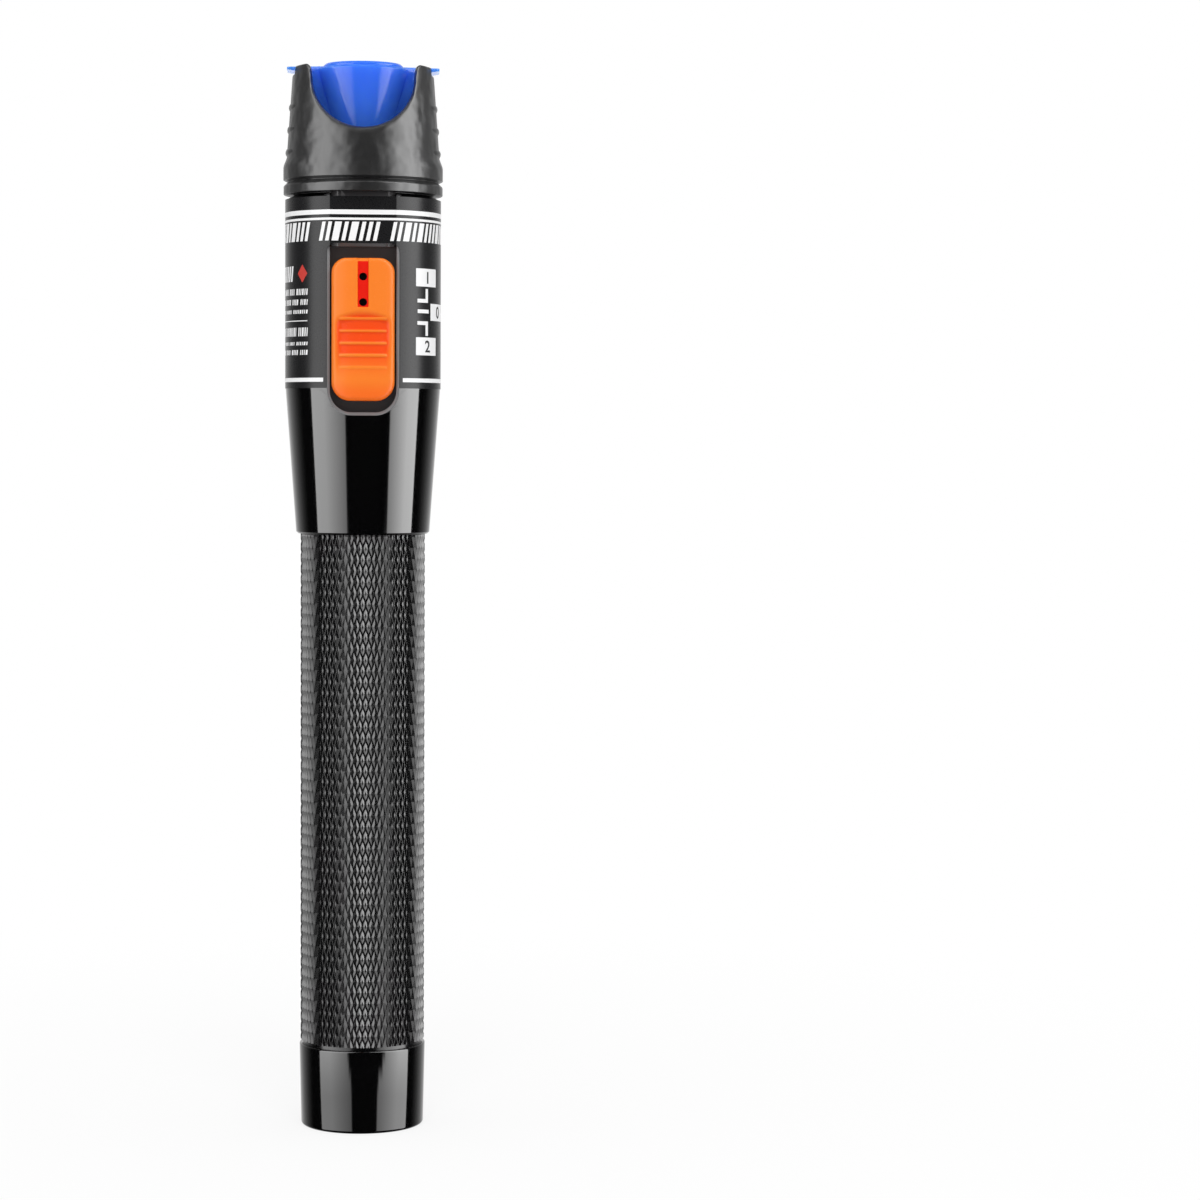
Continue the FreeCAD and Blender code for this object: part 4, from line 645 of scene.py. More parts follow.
# --- tail cap ------------------------------------------------------------------------
@dataclass
class TailCap:
    """Screw-on tail cap with its thread, contact and spring."""

    foot_radius: float = 10.1
    rim_radius: float = 10.37
    rim_level: float = 13.6
    foot_round: float = 0.5
    rim_round: float = 0.28
    undercut: float = 0.6
    spigot_draft: float = 0.01
    mouth_round: float = 0.2
    floor_round: float = 0.3
    skirt_columns: int = 160
    bore: float = 7.2
    floor: float = 2.2
    spigot_root: float = 8.1
    spigot_crest: float = 8.6
    spigot_top: float = 21.6
    thread_pitch: float = 1.0
    thread_foot: float = 0.5
    thread_end: float = 0.3
    thread_flank: float = 2.6
    thread_columns: int = 96
    thread_rows: int = 8
    thread_fade: int = 6
    sleeve: float = 0.2
    contact_radius: float = 6.6
    contact_top: float = 2.7
    contact_rim: float = 0.9
    contact_well: float = 1.2
    contact_dent: float = 0.15
    contact_boss: Pair = (2.2, 1.8)
    boss_dent: float = 0.05
    wire: float = 0.4
    coil_foot: float = 5.4
    coil_rise: float = 5.4
    coil_turns: int = 3
    coil_taper: float = 18.0
    coil_steps: int = 48
    wire_sides: int = 16

    def build(self) -> None:
        """Builds and dresses every piece of the tail."""
        self.build_skirt()
        self.build_thread()
        self.build_contact()
        self.build_spring()

    def build_skirt(self) -> None:
        """Polished skirt with a rounded foot and a fine bevel at its rim."""
        skirt = turned_piece("tail_skirt", (
            (0.0, 0.0), (self.foot_radius, 0.0, self.foot_round),
            (self.rim_radius, self.rim_level, self.rim_round),
            (self.spigot_root, self.rim_level), (self.spigot_root, self.rim_level + self.undercut),
            (self.spigot_root - self.spigot_draft, self.spigot_top),
            (self.bore, self.spigot_top, self.mouth_round),
            (self.bore, self.floor, self.floor_round), (0.0, self.floor)),
            segments=self.skirt_columns)
        put_on(Body.TAIL, GLOSS_ANODISED, skirt, "tail_cap")

    def build_thread(self) -> None:
        """Helical thread on the spigot, as one closed sleeve."""
        around = self.thread_columns
        foot, top = self.rim_level + self.thread_foot, self.spigot_top - self.thread_end
        rows = self.thread_rows * round((top - foot) / self.thread_pitch)
        height = self.spigot_crest - self.spigot_root
        points, faces = [], []
        for row in range(rows + 1):
            level = foot + (top - foot) * row / rows
            fade = min(row, rows - row, self.thread_fade) / self.thread_fade
            for step in range(around):
                phase = (level / self.thread_pitch - step / around) % 1.0
                rise = min(abs(phase - 0.5) * self.thread_flank, 1.0)
                radius = self.spigot_root + height * (1 - rise) * fade
                angle = 2 * math.pi * step / around
                points.append((radius * math.cos(angle), radius * math.sin(angle), level))
        inner = len(points)
        for level in (foot, top):
            for step in range(around):
                angle = 2 * math.pi * step / around
                reach = self.spigot_root - self.sleeve
                points.append((reach * math.cos(angle), reach * math.sin(angle), level))
        for step in range(around):
            ahead = (step + 1) % around
            for row in range(rows):
                low, high = row * around, (row + 1) * around
                faces.append((low + step, low + ahead, high + ahead, high + step))
            top_row = rows * around
            faces.append((inner + step, inner + ahead, ahead, step))
            faces.append((top_row + step, top_row + ahead, inner + around + ahead,
                          inner + around + step))
            faces.append((inner + around + step, inner + around + ahead, inner + ahead,
                          inner + step))
        put_on(Body.TAIL, THREAD_ANODISED, mesh_piece("tail_thread", points, faces, 40.0))

    def build_contact(self) -> None:
        """Pressed contact disc with a raised rim."""
        top, radius = self.contact_top, self.contact_radius
        disc = turned_piece("tail_contact_disc", (
            (0.0, self.floor), (radius, self.floor, 0.1), (radius, top, 0.12),
            (radius - self.contact_rim, top), (radius - self.contact_well, top - self.contact_dent),
            (self.contact_boss[0], top - self.contact_dent),
            (self.contact_boss[1], top - self.boss_dent),
            (0.0, top - self.boss_dent)), segments=96)
        put_on(Body.TAIL, BRASS, disc, "tail_contact")

    def build_spring(self) -> None:
        """Conical spring of round wire, swept along a helix by a node tree."""
        recipe = Recipe("tail_coil")
        wire = recipe.size("Wire radius", self.wire * MM)
        spread = recipe.size("Foot radius", self.coil_foot * MM)
        rise = recipe.size("Rise", self.coil_rise * MM)
        turns = recipe.size("Turns", float(self.coil_turns))
        slope = math.tan(math.radians(self.coil_taper))
        narrow = recipe.math("SUBTRACT", spread, recipe.math("MULTIPLY", rise, slope))
        helix = recipe.node("GeometryNodeCurveSpiral", Resolution=self.coil_steps, Rotations=turns,
                            Start_Radius=spread, End_Radius=narrow, Height=rise)
        lift = recipe.node("GeometryNodeTransform", Geometry=helix.outputs[0])
        lift.inputs["Translation"].default_value = (0.0, 0.0, (self.contact_top + self.wire) * MM)
        section = recipe.node("GeometryNodeCurvePrimitiveCircle", Resolution=self.wire_sides,
                              Radius=wire)
        swept = recipe.node("GeometryNodeCurveToMesh", Curve=lift.outputs[0],
                            Profile_Curve=section.outputs[0], Fill_Caps=True)
        coil = recipe.bake(swept.outputs[0], SPRING_WIRE)
        put_on(Body.FOLLOWER, SPRING_WIRE, coil, "tail_spring")


# --- grip ----------------------------------------------------------------------------
@dataclass
class Grip:
    """Knurled tube with the two cells in it."""

    foot: float = 13.6
    relief: float = 0.6
    relief_radius: float = 9.8
    root_radius: float = 9.92
    crest_radius: float = 10.2
    top: float = 97.9
    spigot_radius: float = 9.2
    spigot_top: float = 106.4
    bore: float = 7.6
    mouth_radius: float = 8.7
    mouth_top: float = 22.4
    studs_round: int = 64
    stud_pitch: float = 1.81
    stud_crest: float = 0.25
    stud_sink: float = 0.02
    stud_overrun: float = 0.1
    cell_radius: float = 7.18
    cell_shoulder: float = 1.2
    cell_foot: Pair = (5.2, 5.6)
    cell_foot_dent: float = 0.15
    cell_groove: Pair = (5.4, 5.1)
    cell_groove_dent: float = 0.25
    cell_disc: float = 2.9
    cell_button: float = 2.7

    def build(self) -> None:
        """Builds and dresses the tube, its knurl and the cells."""
        tube = turned_piece("grip_core", (
            (self.mouth_radius, self.foot), (self.relief_radius, self.foot),
            (self.relief_radius, self.foot + self.relief),
            (self.root_radius, self.foot + self.relief),
            (self.root_radius, self.top), (self.spigot_radius, self.top),
            (self.spigot_radius, self.spigot_top, 0.3), (self.bore, self.spigot_top),
            (self.bore, self.mouth_top), (self.mouth_radius, self.mouth_top)), segments=128)
        put_on(Body.PEN, KNURL_ANODISED, tube, "grip_tube")
        self.build_knurl()
        for cell in ("battery_lower", "battery_upper"):
            self.build_cell(cell)

    def build_knurl(self) -> None:
        """Diamond studs of the knurl, set out by a node tree and trimmed at both ends."""
        foot = self.foot + self.relief
        rows = int((self.top - foot) / self.stud_pitch) + 2
        recipe = Recipe("grip_knurl")
        count = recipe.size("Studs round", self.studs_round)
        lines = recipe.size("Rows", rows)
        pitch = recipe.size("Pitch", self.stud_pitch * MM)
        root = recipe.size("Root radius", (self.root_radius - self.stud_sink) * MM)
        depth = recipe.size("Depth", (self.crest_radius - self.root_radius + self.stud_sink) * MM)
        crest = recipe.size("Crest", self.stud_crest)
        start = recipe.size("Start", foot * MM)
        index = recipe.node("GeometryNodeInputIndex").outputs[0]
        row = recipe.math("FLOOR", recipe.math("DIVIDE", index, count))
        column = recipe.math("MODULO", index, count)
        shift = recipe.math("MULTIPLY", recipe.math("MODULO", row, 2.0), 0.5)
        turn = recipe.math("DIVIDE", recipe.math("MULTIPLY", recipe.math("ADD", column, shift),
                                                 2 * math.pi), count)
        level = recipe.math("ADD", start, recipe.math("MULTIPLY", row, pitch))
        place = recipe.vector(recipe.math("MULTIPLY", root, recipe.math("COSINE", turn)),
                              recipe.math("MULTIPLY", root, recipe.math("SINE", turn)), level)
        dots = recipe.node("GeometryNodePoints", Count=recipe.math("MULTIPLY", count, lines),
                           Position=place)
        stud = recipe.node("GeometryNodeMeshCone", Vertices=4, Radius_Top=crest, Radius_Bottom=1.0,
                           Depth=depth)
        width = recipe.math("DIVIDE", recipe.math("MULTIPLY", root, math.pi), count)
        shaped = recipe.node("GeometryNodeTransform", Geometry=stud.outputs[0],
                             Scale=recipe.vector(pitch, width, 1.0))
        laid = recipe.node("GeometryNodeTransform", Geometry=shaped.outputs[0])
        laid.inputs["Rotation"].default_value = (0.0, math.pi / 2, 0.0)
        spread = recipe.node("GeometryNodeInstanceOnPoints", Points=dots.outputs[0],
                             Instance=laid.outputs[0], Rotation=recipe.vector(0.0, 0.0, turn))
        knurl = recipe.bake(spread.outputs[0], KNURL_ANODISED)
        self.trim(knurl.data, foot * MM, (self.top + self.stud_overrun) * MM)
        put_on(Body.PEN, KNURL_ANODISED, knurl)

    def trim(self, mesh: bpy.types.Mesh, low: float, high: float) -> None:
        """Cuts the studs off square below and above, and closes the cuts.

        Args:
            mesh: The studs' mesh.
            low: Level of the lower cut, in metres.
            high: Level of the upper cut, in metres.
        """
        work = bmesh.new()
        work.from_mesh(mesh)
        for level, up in ((low, -1.0), (high, 1.0)):
            cut = bmesh.ops.bisect_plane(work, geom=work.verts[:] + work.edges[:] + work.faces[:],
                                         dist=1e-8, plane_co=(0.0, 0.0, level),
                                         plane_no=(0.0, 0.0, up), clear_outer=True)
            edges = [item for item in cut["geom_cut"] if isinstance(item, bmesh.types.BMEdge)]
            bmesh.ops.holes_fill(work, edges=edges, sides=0)
        bmesh.ops.recalc_face_normals(work, faces=work.faces)
        work.to_mesh(mesh)
        work.free()
        mesh.shade_flat()

    def build_cell(self, node: str) -> None:
        """A cell with a rolled edge, a seam ring and a rounded positive cap.

        Args:
            node: CAD node of the cell.
        """
        low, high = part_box(node)
        foot, top = low.z / MM, high.z / MM
        shoulder, radius = top - self.cell_shoulder, self.cell_radius
        inner, outer = self.cell_foot
        rim, groove = self.cell_groove
        dent = shoulder - self.cell_groove_dent
        cell = turned_piece(f"{node}_cell", (
            (0.0, foot + self.cell_foot_dent), (inner, foot + self.cell_foot_dent),
            (outer, foot, 0.2),
            (radius, foot, 0.5), (radius, shoulder, 0.6), (rim, shoulder, 0.2), (groove, dent),
            (self.cell_disc, dent), (self.cell_button, shoulder),
            (self.cell_button, top, 0.35), (0.0, top)), segments=96)
        put_on(Body.PEN, CELL_JACKET, cell, node)


# --- head ----------------------------------------------------------------------------
@dataclass
class FilmWrap:
    """Lays flat shapes on the film round the head.

    A place is given along the film from the middle of the front, up the pen and off the
    film; across the carrier's tongue the film is flat.
    """

    radius: float = 12.74
    flat_half: float = 5.35
    flat_depth: float = 11.554
    stride: float = 0.55
    figure_size: float = 1.4
    figure_weight: float = 0.02
    figure_width: float = 1.15

    def place(self, along: float, up: float, off: float) -> Point:
        """Finds the point in space of a place on the film, in millimetres.

        Args:
            along: Distance along the film from the middle of the front.
            up: Level up the pen.
            off: Distance off the film, outwards.

        Returns:
            The point.
        """
        angle = along / self.radius
        across = (self.radius + off) * math.sin(angle)
        depth = (self.radius + off) * math.cos(angle)
        if abs(across) < self.flat_half and depth > 0:
            depth = min(depth, self.flat_depth + off)
        return (across, -depth, up)

    def lay(self, name: str, shapes: Sequence[Sequence[Pair]], low: float,
            high: float) -> bpy.types.Object:
        """Makes closed slabs of flat outlines and wraps them round the head.

        Args:
            name: Name of the piece.
            shapes: Outlines as (along, up) corners in millimetres.
            low: Underside of the slabs off the film.
            high: Top of the slabs off the film.

        Returns:
            The wrapped piece.
        """
        work = bmesh.new()
        for outline in shapes:
            face = work.faces.new([work.verts.new((along, up, low)) for along, up in outline])
            grown = bmesh.ops.extrude_face_region(work, geom=[face])
            for item in grown["geom"]:
                if isinstance(item, bmesh.types.BMVert):
                    item.co.z = high
        return self.wrap(name, work)

    def wrap(self, name: str, work: bmesh.types.BMesh) -> bpy.types.Object:
        """Cuts a flat mesh into narrow strips and bends it round the head.

        Args:
            name: Name of the piece.
            work: Flat mesh in millimetres, off the film along its own z. It is freed.

        Returns:
            The wrapped piece.
        """
        reach = [vert.co.x for vert in work.verts]
        first, last = math.ceil(min(reach) / self.stride), math.floor(max(reach) / self.stride)
        fold = self.radius * math.asin(self.flat_half / self.radius)
        cuts = [index * self.stride for index in range(first, last + 1)] + [-fold, fold]
        for along in cuts:
            bmesh.ops.bisect_plane(work, geom=work.verts[:] + work.edges[:] + work.faces[:],
                                   dist=1e-5, plane_co=(along, 0.0, 0.0), plane_no=(1.0, 0.0, 0.0))
        for vert in work.verts:
            vert.co = Vector(self.place(*vert.co)) * MM
        bmesh.ops.remove_doubles(work, verts=work.verts, dist=1e-6)
        self.open_seam(work)
        bmesh.ops.recalc_face_normals(work, faces=work.faces)
        mesh = bpy.data.meshes.new(name)
        work.to_mesh(mesh)
        work.free()
        mesh.shade_smooth()
        mesh.set_sharp_from_angle(angle=math.radians(20))
        set_turned_normals(mesh, self.flat_half * MM)
        return place_object(name, mesh)

    def open_seam(self, work: bmesh.types.BMesh) -> None:
        """Drops the two end faces that meet where a slab goes all the way round.

        Args:
            work: The bent mesh, which is changed.
        """
        known: dict[frozenset, list[bmesh.types.BMFace]] = {}
        for face in work.faces:
            known.setdefault(frozenset(vert.index for vert in face.verts), []).append(face)
        doubled = [face for faces in known.values() if len(faces) > 1 for face in faces]
        bmesh.ops.delete(work, geom=doubled, context="FACES_ONLY")

    def figure(self, name: str, sign: str, along: float, up: float, height: float,
               low: float, high: float) -> bpy.types.Object:
        """A plain numeral on the film.

        Args:
            name: Name of the piece.
            sign: The numeral.
            along: Middle of the numeral along the film.
            up: Middle of the numeral up the pen.
            height: Height of the numeral.
            low: Underside off the film.
            high: Top off the film.

        Returns:
            The wrapped numeral.
        """
        text = bpy.data.curves.new(name, "FONT")
        text.body = sign
        text.size = height * self.figure_size
        text.offset = self.figure_weight * height
        text.extrude = (high - low) / 2
        text.align_x = "CENTER"
        text.resolution_u = 4
        host = bpy.data.objects.new(name, text)
        bpy.context.scene.collection.objects.link(host)
        seen = host.evaluated_get(bpy.context.evaluated_depsgraph_get())
        flat = bpy.data.meshes.new_from_object(seen)
        bpy.data.objects.remove(host)
        work = bmesh.new()
        work.from_mesh(flat)
        middle = (min(v.co.y for v in work.verts) + max(v.co.y for v in work.verts)) / 2
        for vert in work.verts:
            vert.co = Vector((vert.co.x * self.figure_width + along, vert.co.y - middle + up,
                              vert.co.z + (low + high) / 2))
        return self.wrap(name, work)


@dataclass
class Head:
    """Cone, head, and the printed film with its generic marks."""

    film_foot: float = 121.6
    film_top: float = 152.35
    film_sink: float = 0.08
    window_half: float = 5.9
    window_top: float = 144.85
    window_round: float = 1.6
    bevel_foot: float = 116.5
    bevel_depth: float = 10.5
    stripe_rows: tuple[Pair, ...] = ((149.43, 150.18), (148.53, 148.9))
    foot_stripe: Pair = (122.6, 123.25)
    stripe_gap: float = 6.7
    title_row: Pair = (145.22, 148.25)
    title_slant: float = 0.65
    title_groups: tuple[Pair, ...] = ((-19.6, -8.9), (-7.5, 3.4), (4.4, 19.4))
    title_bars: tuple[float, ...] = (0.62, 0.62, 1.15, 0.62, 1.15, 0.62)
    title_gap: float = 0.52
    note_end: float = -9.95
    note_start: float = -19.8
    note_rows: tuple[Pair, ...] = ((136.6, 137.6), (135.0, 135.9), (133.6, 134.2), (129.95, 131.35),
                                   (128.5, 129.05), (126.95, 127.75))
    note_rule: Pair = (132.36, 132.5)
    note_strokes: tuple[float, ...] = (0.26, 0.2, 0.34, 0.2, 0.26, 0.42, 0.2)
    note_words: tuple[int, ...] = (6, 4, 8, 5)
    note_gaps: Pair = (0.24, 0.7)
    note_slant: float = 0.1
    note_least: float = 0.5
    tally: Pair = (-17.4, -16.9)
    tally_row: Pair = (138.8, 141.3)
    tally_shifts: tuple[float, ...] = (-1.8, -0.9, 0.0, 0.9, 1.8, 2.7)
    tally_slant: float = 0.4
    diamond: tuple[Pair, ...] = ((-12.35, 140.05), (-11.15, 141.5), (-9.95, 140.05),
                                 (-11.15, 138.6))
    position_boxes: tuple[tuple[float, ...], ...] = (
        (9.33, 15.0, 138.1, 141.0), (13.1, 18.7, 132.65, 135.4), (9.33, 15.0, 127.0, 129.9))
    position_leads: tuple[tuple[Pair, ...], ...] = (
        ((9.65, 135.5), (12.3, 135.5), (12.3, 137.75), (11.65, 137.75), (11.65, 136.1),
         (9.65, 136.1)),
        ((9.7, 133.8), (12.5, 133.8), (12.5, 134.4), (9.7, 134.4)),
        ((9.65, 131.9), (11.65, 131.9), (11.65, 130.15), (12.3, 130.15), (12.3, 132.5),
         (9.65, 132.5)))
    position_figures: tuple[tuple[str, float, float], ...] = (
        ("1", 12.2, 139.55), ("0", 15.9, 134.05), ("2", 12.2, 128.45))
    figure_height: float = 1.9
    figure_rise: float = 0.015
    bevel_tilt: Pair = (0.3, 0.93)
    corner_steps: int = 8
    stripe_seam: float = 0.05
    ink_top: float = 0.025

    def build(self) -> None:
        """Builds and dresses the shell, the film and the print."""
        barrel = put_on(Body.PEN, GLOSS_ANODISED, fair_copy("head_shell", "head_barrel"),
                        "head_shell")
        # second material: painted highlight on the window's bevel
        barrel.data.materials.append(BEVEL_PAINTED_HIGHLIGHT.material())
        self.paint_bevel_highlight(barrel.data)
        put_on(Body.PEN, SATIN_BLACK, fair_copy("inner_carrier", "carrier_moulding"),
               "inner_carrier")
        wrap = FilmWrap()
        put_on(Body.PEN, FILM, wrap.lay("label_sleeve", [self.film_outline(wrap)], -self.film_sink,
                                        0.0), "label_film")
        white = self.stripes(wrap) + self.title() + self.notes() + self.legend()
        put_on(Body.PEN, WHITE_INK, wrap.lay("white_print", white, 0.0, self.ink_top))
        put_on(Body.PEN, RED_INK, wrap.lay("red_mark", [self.diamond], 0.0, self.ink_top))
        for sign, along, up in self.position_figures:
            put_on(Body.PEN, DARK_INK_AND_HOLE_SHADE, wrap.figure(f"position_{sign}", sign, along, up,
                                                   self.figure_height, self.ink_top,
                                                   self.ink_top + self.figure_rise))

    def paint_bevel_highlight(self, mesh: bpy.types.Mesh) -> None:
        """Paints a pale highlight on the bevel faces round the window.

        Args:
            mesh: The shell's mesh, whose second material is the painted highlight.
        """
        least, most = self.bevel_tilt
        for face in mesh.polygons:
            spoke = Vector((face.center.x, face.center.y, 0.0)).normalized()
            place = face.center / MM
            beside = abs(place.x) < self.window_half and place.y < -self.bevel_depth
            if beside and place.z > self.bevel_foot and least < face.normal.dot(spoke) < most:
                face.material_index = 1

    def film_outline(self, wrap: FilmWrap) -> Outline:
        """Draws the flat cut of the film: the full turn, open at the foot round the window.

        Args:
            wrap: What lays it round the head.

        Returns:
            Its outline.
        """
        reach = math.pi * wrap.radius
        half = wrap.radius * math.asin(self.window_half / wrap.radius)
        corner = []
        for step in range(self.corner_steps + 1):
            turn = math.pi / 2 * step / self.corner_steps
            corner.append((half - self.window_round * (1 - math.cos(turn)),
                           self.window_top - self.window_round * (1 - math.sin(turn))))
        left = [(-along, up) for along, up in corner]
        return [(-reach, self.film_foot), (-half, self.film_foot), *left, *reversed(corner),
                (half, self.film_foot), (reach, self.film_foot), (reach, self.film_top),
                (-reach, self.film_top)]

    def bar(self, left: float, right: float, low: float, high: float,
            slant: float = 0.0) -> Outline:
        """Outline of a bar, slanted by a shift of its top."""
        return [(left, low), (right, low), (right + slant, high), (left + slant, high)]

    def stripes(self, wrap: FilmWrap) -> list[Outline]:
        """Draws the stripes round the film, the lowest one open at the window.

        Args:
            wrap: What lays them round the head.

        Returns:
            Their outlines.
        """
        reach = math.pi * wrap.radius - self.stripe_seam
        rows = [self.bar(-reach, reach, low, high) for low, high in self.stripe_rows]
        low, high = self.foot_stripe
        return rows + [self.bar(-reach, -self.stripe_gap, low, high),
                       self.bar(self.stripe_gap, reach, low, high)]

    def title(self) -> list[Outline]:
        """Draws slanted bars in three groups above the window.

        Returns:
            Their outlines.
        """
        low, high = self.title_row
        shapes = []
        for left, right in self.title_groups:
            along, turn = left, 0
            while along + self.title_bars[turn % len(self.title_bars)] <= right:
                width = self.title_bars[turn % len(self.title_bars)]
                shapes.append(self.bar(along, along + width, low, high, self.title_slant))
                along += width + self.title_gap
                turn += 1
        return shapes

    def notes(self) -> list[Outline]:
        """Draws rows of short dashes that end in line beside the window.

        Returns:
            Their outlines.
        """
        low, high = self.note_rule
        shapes = [self.bar(self.note_start, self.note_end, low, high)]
        left, right = self.tally
        shapes += [self.bar(left + shift, right + shift, *self.tally_row, self.tally_slant)
                   for shift in self.tally_shifts]
        for index, (low, high) in enumerate(self.note_rows):
            along, turn = self.note_end, index
            to_come = self.note_words[index % len(self.note_words)]
            while along - self.note_start > self.note_least:
                width = self.note_strokes[turn % len(self.note_strokes)]
                shapes.append(self.bar(along - width, along, low, high, self.note_slant))
                to_come -= 1
                if to_come == 0:
                    to_come = self.note_words[(index + turn) % len(self.note_words)]
                    width += self.note_gaps[1] - self.note_gaps[0]
                along -= width + self.note_gaps[0]
                turn += 1
        return shapes

    def legend(self) -> list[Outline]:
        """Draws three boxes for the switch's positions, and the lines that lead to them.

        Returns:
            Their outlines.
        """
        boxes = [self.bar(*box) for box in self.position_boxes]
        return boxes + [list(lead) for lead in self.position_leads]


# --- switch --------------------------------------------------------------------------
@dataclass
class SlideSwitch:
    """Orange button with its thumb dish, and the carriage that it rides on."""

    half_width: float = 5.075
    foot: float = 119.55
    top: float = 142.45
    crown: float = 12.95
    back: float = 8.9
    top_corner: float = 2.4
    foot_corner: float = 3.0
    edge_round: float = 0.75
    groove_half: float = 0.86
    groove_length: float = 7.9
    groove_depth: float = 0.42
    hole_radius: float = 0.63
    hole_levels: Pair = (139.45, 135.35)
    hole_depth: float = 1.4
    dish_half: float = 4.25
    dish_top: float = 134.0
    dish_foot: float = 123.6
    dish_depth: float = 0.62
    rib_levels: tuple[float, ...] = (132.72, 130.76, 128.80, 126.84, 124.88)
    rib_half: float = 3.72
    rib_width: float = 0.62
    rib_rise: float = 0.26
    # share of painted shade at the button's lower end
    foot_shade: float = 0.42
    groove_blend: float = 0.06
    groove_end: float = 0.1
    dish_sides: Pair = (0.45, 0.75)
    dish_arch: float = 0.055
    dish_brow: Pair = (0.2, 1.5)
    dish_run_out: Pair = (1.4, 3.2)
    rib_ends: Pair = (0.22, 0.12)
    rib_share: float = 0.75
    rib_fullness: float = 0.8
    corner_rows: int = 16
    groove_rows: int = 12
    row_pitch: float = 0.105
    hole_sides: int = 28

    def build(self) -> None:
        """Builds and dresses the button and what moves with it."""
        button = self.build_button()
        put_on(Body.SLIDER, ORANGE_PLASTIC, button, "slide_button")
        button.data.materials.append(RED_GROOVE.material())
        # the dark finish is painted shade in the holes
        button.data.materials.append(DARK_INK_AND_HOLE_SHADE.material())
        self.paint_groove(button.data)
        # paints shade as deeper orange in the scoop and at the foot
        self.shade_dish(button.data)
        put_on(Body.SLIDER, SATIN_BLACK, fair_copy("slide_carriage", "button_carriage"),
               "slide_carriage")

    def inset(self, across: float, level: float) -> float:
        """Measures how far inside the button's rounded outline a place lies.

        Args:
            across: Distance from the button's middle line, in millimetres.
            level: Level up the pen, in millimetres.

        Returns:
            Distance inwards, in millimetres.
        """
        middle = (self.foot + self.top) / 2
        corner = self.top_corner if level > middle else self.foot_corner
        beyond_x = abs(across) - (self.half_width - corner)
        beyond_z = abs(level - middle) - ((self.top - self.foot) / 2 - corner)
        if beyond_x > 0 and beyond_z > 0:
            return corner - math.hypot(beyond_x, beyond_z)
        return corner - max(beyond_x, beyond_z)

    def half_at(self, level: float) -> float:
        """Measures half the button's width.

        Args:
            level: Level up the pen, in millimetres.

        Returns:
            Half the width there, in millimetres.
        """
        middle = (self.foot + self.top) / 2
        corner = self.top_corner if level > middle else self.foot_corner
        beyond = abs(level - middle) - ((self.top - self.foot) / 2 - corner)
        if beyond <= 0:
            return self.half_width
        return self.half_width - corner + math.sqrt(max(corner ** 2 - beyond ** 2, 0.0))

    def front(self, across: float, level: float) -> float:
        """Works out the button's face.

        Args:
            across: Distance from the button's middle line, in millimetres.
            level: Level up the pen, in millimetres.

        Returns:
            Depth of the face ahead of the pen's axis, in millimetres.
        """
        depth = math.sqrt(self.crown ** 2 - across ** 2)
        edge = max(0.0, self.inset(across, level))
        if edge < self.edge_round:
            inward = self.edge_round - edge
            depth -= self.edge_round - math.sqrt(self.edge_round ** 2 - inward ** 2)
        depth -= self.dish(across, level)
        depth += self.ribs(across, level)
        in_groove = ease(self.groove_half + self.groove_blend, self.groove_half - self.groove_blend,
                         abs(across))
        low = self.top - self.groove_length
        in_groove *= ease(low - self.groove_blend, low + self.groove_end, level)
        return depth - self.groove_depth * in_groove

    def dish(self, across: float, level: float) -> float:
        """Works out the scoop under the thumb: steep above, running out below.

        Args:
            across: Distance from the button's middle line, in millimetres.
            level: Level up the pen, in millimetres.

        Returns:
            Depth of the scoop there, in millimetres.
        """
        beyond, within = self.dish_sides
        sides = ease(self.dish_half + beyond, self.dish_half - within, abs(across))
        arch = self.dish_top - self.dish_arch * across ** 2
        over, under = self.dish_brow
        rise = ease(arch + over, arch - under, level)
        below, short = self.dish_run_out
        run_out = ease(self.dish_foot - below, self.dish_top - short, level)
        return self.dish_depth * sides * rise * run_out

    def ribs(self, across: float, level: float) -> float:
        """Works out the thumb ribs.

        Args:
            across: Distance from the button's middle line, in millimetres.
            level: Level up the pen, in millimetres.

        Returns:
            Height of a rib above the scoop there, in millimetres.
        """
        near = min(abs(level - rib) for rib in self.rib_levels)
        if near > self.rib_width / 2:
            return 0.0
        beyond, within = self.rib_ends
        ends = ease(self.rib_half + beyond, self.rib_half - within, abs(across))
        rise = min(self.rib_rise, self.rib_share * self.dish(across, level))
        return rise * math.cos(math.pi * near / self.rib_width) ** self.rib_fullness * ends

    def stations(self) -> tuple[list[float], list[float]]:
        """Sets out the places across the button, closest together at the groove and the sides.

        Returns:
            Places in millimetres, and the rest as shares of the way to the side.
        """
        fixed = [0.0, 0.3, *(self.groove_half + shift
                             for shift in (-0.3, -0.07, -0.02, 0.03, 0.08, 0.3))]
        spread = [0.06 * step for step in range(1, 12)]
        spread += [0.66 + 0.34 * (1 - (1 - part / 14) ** 1.7) for part in range(1, 15)]
        return fixed, spread

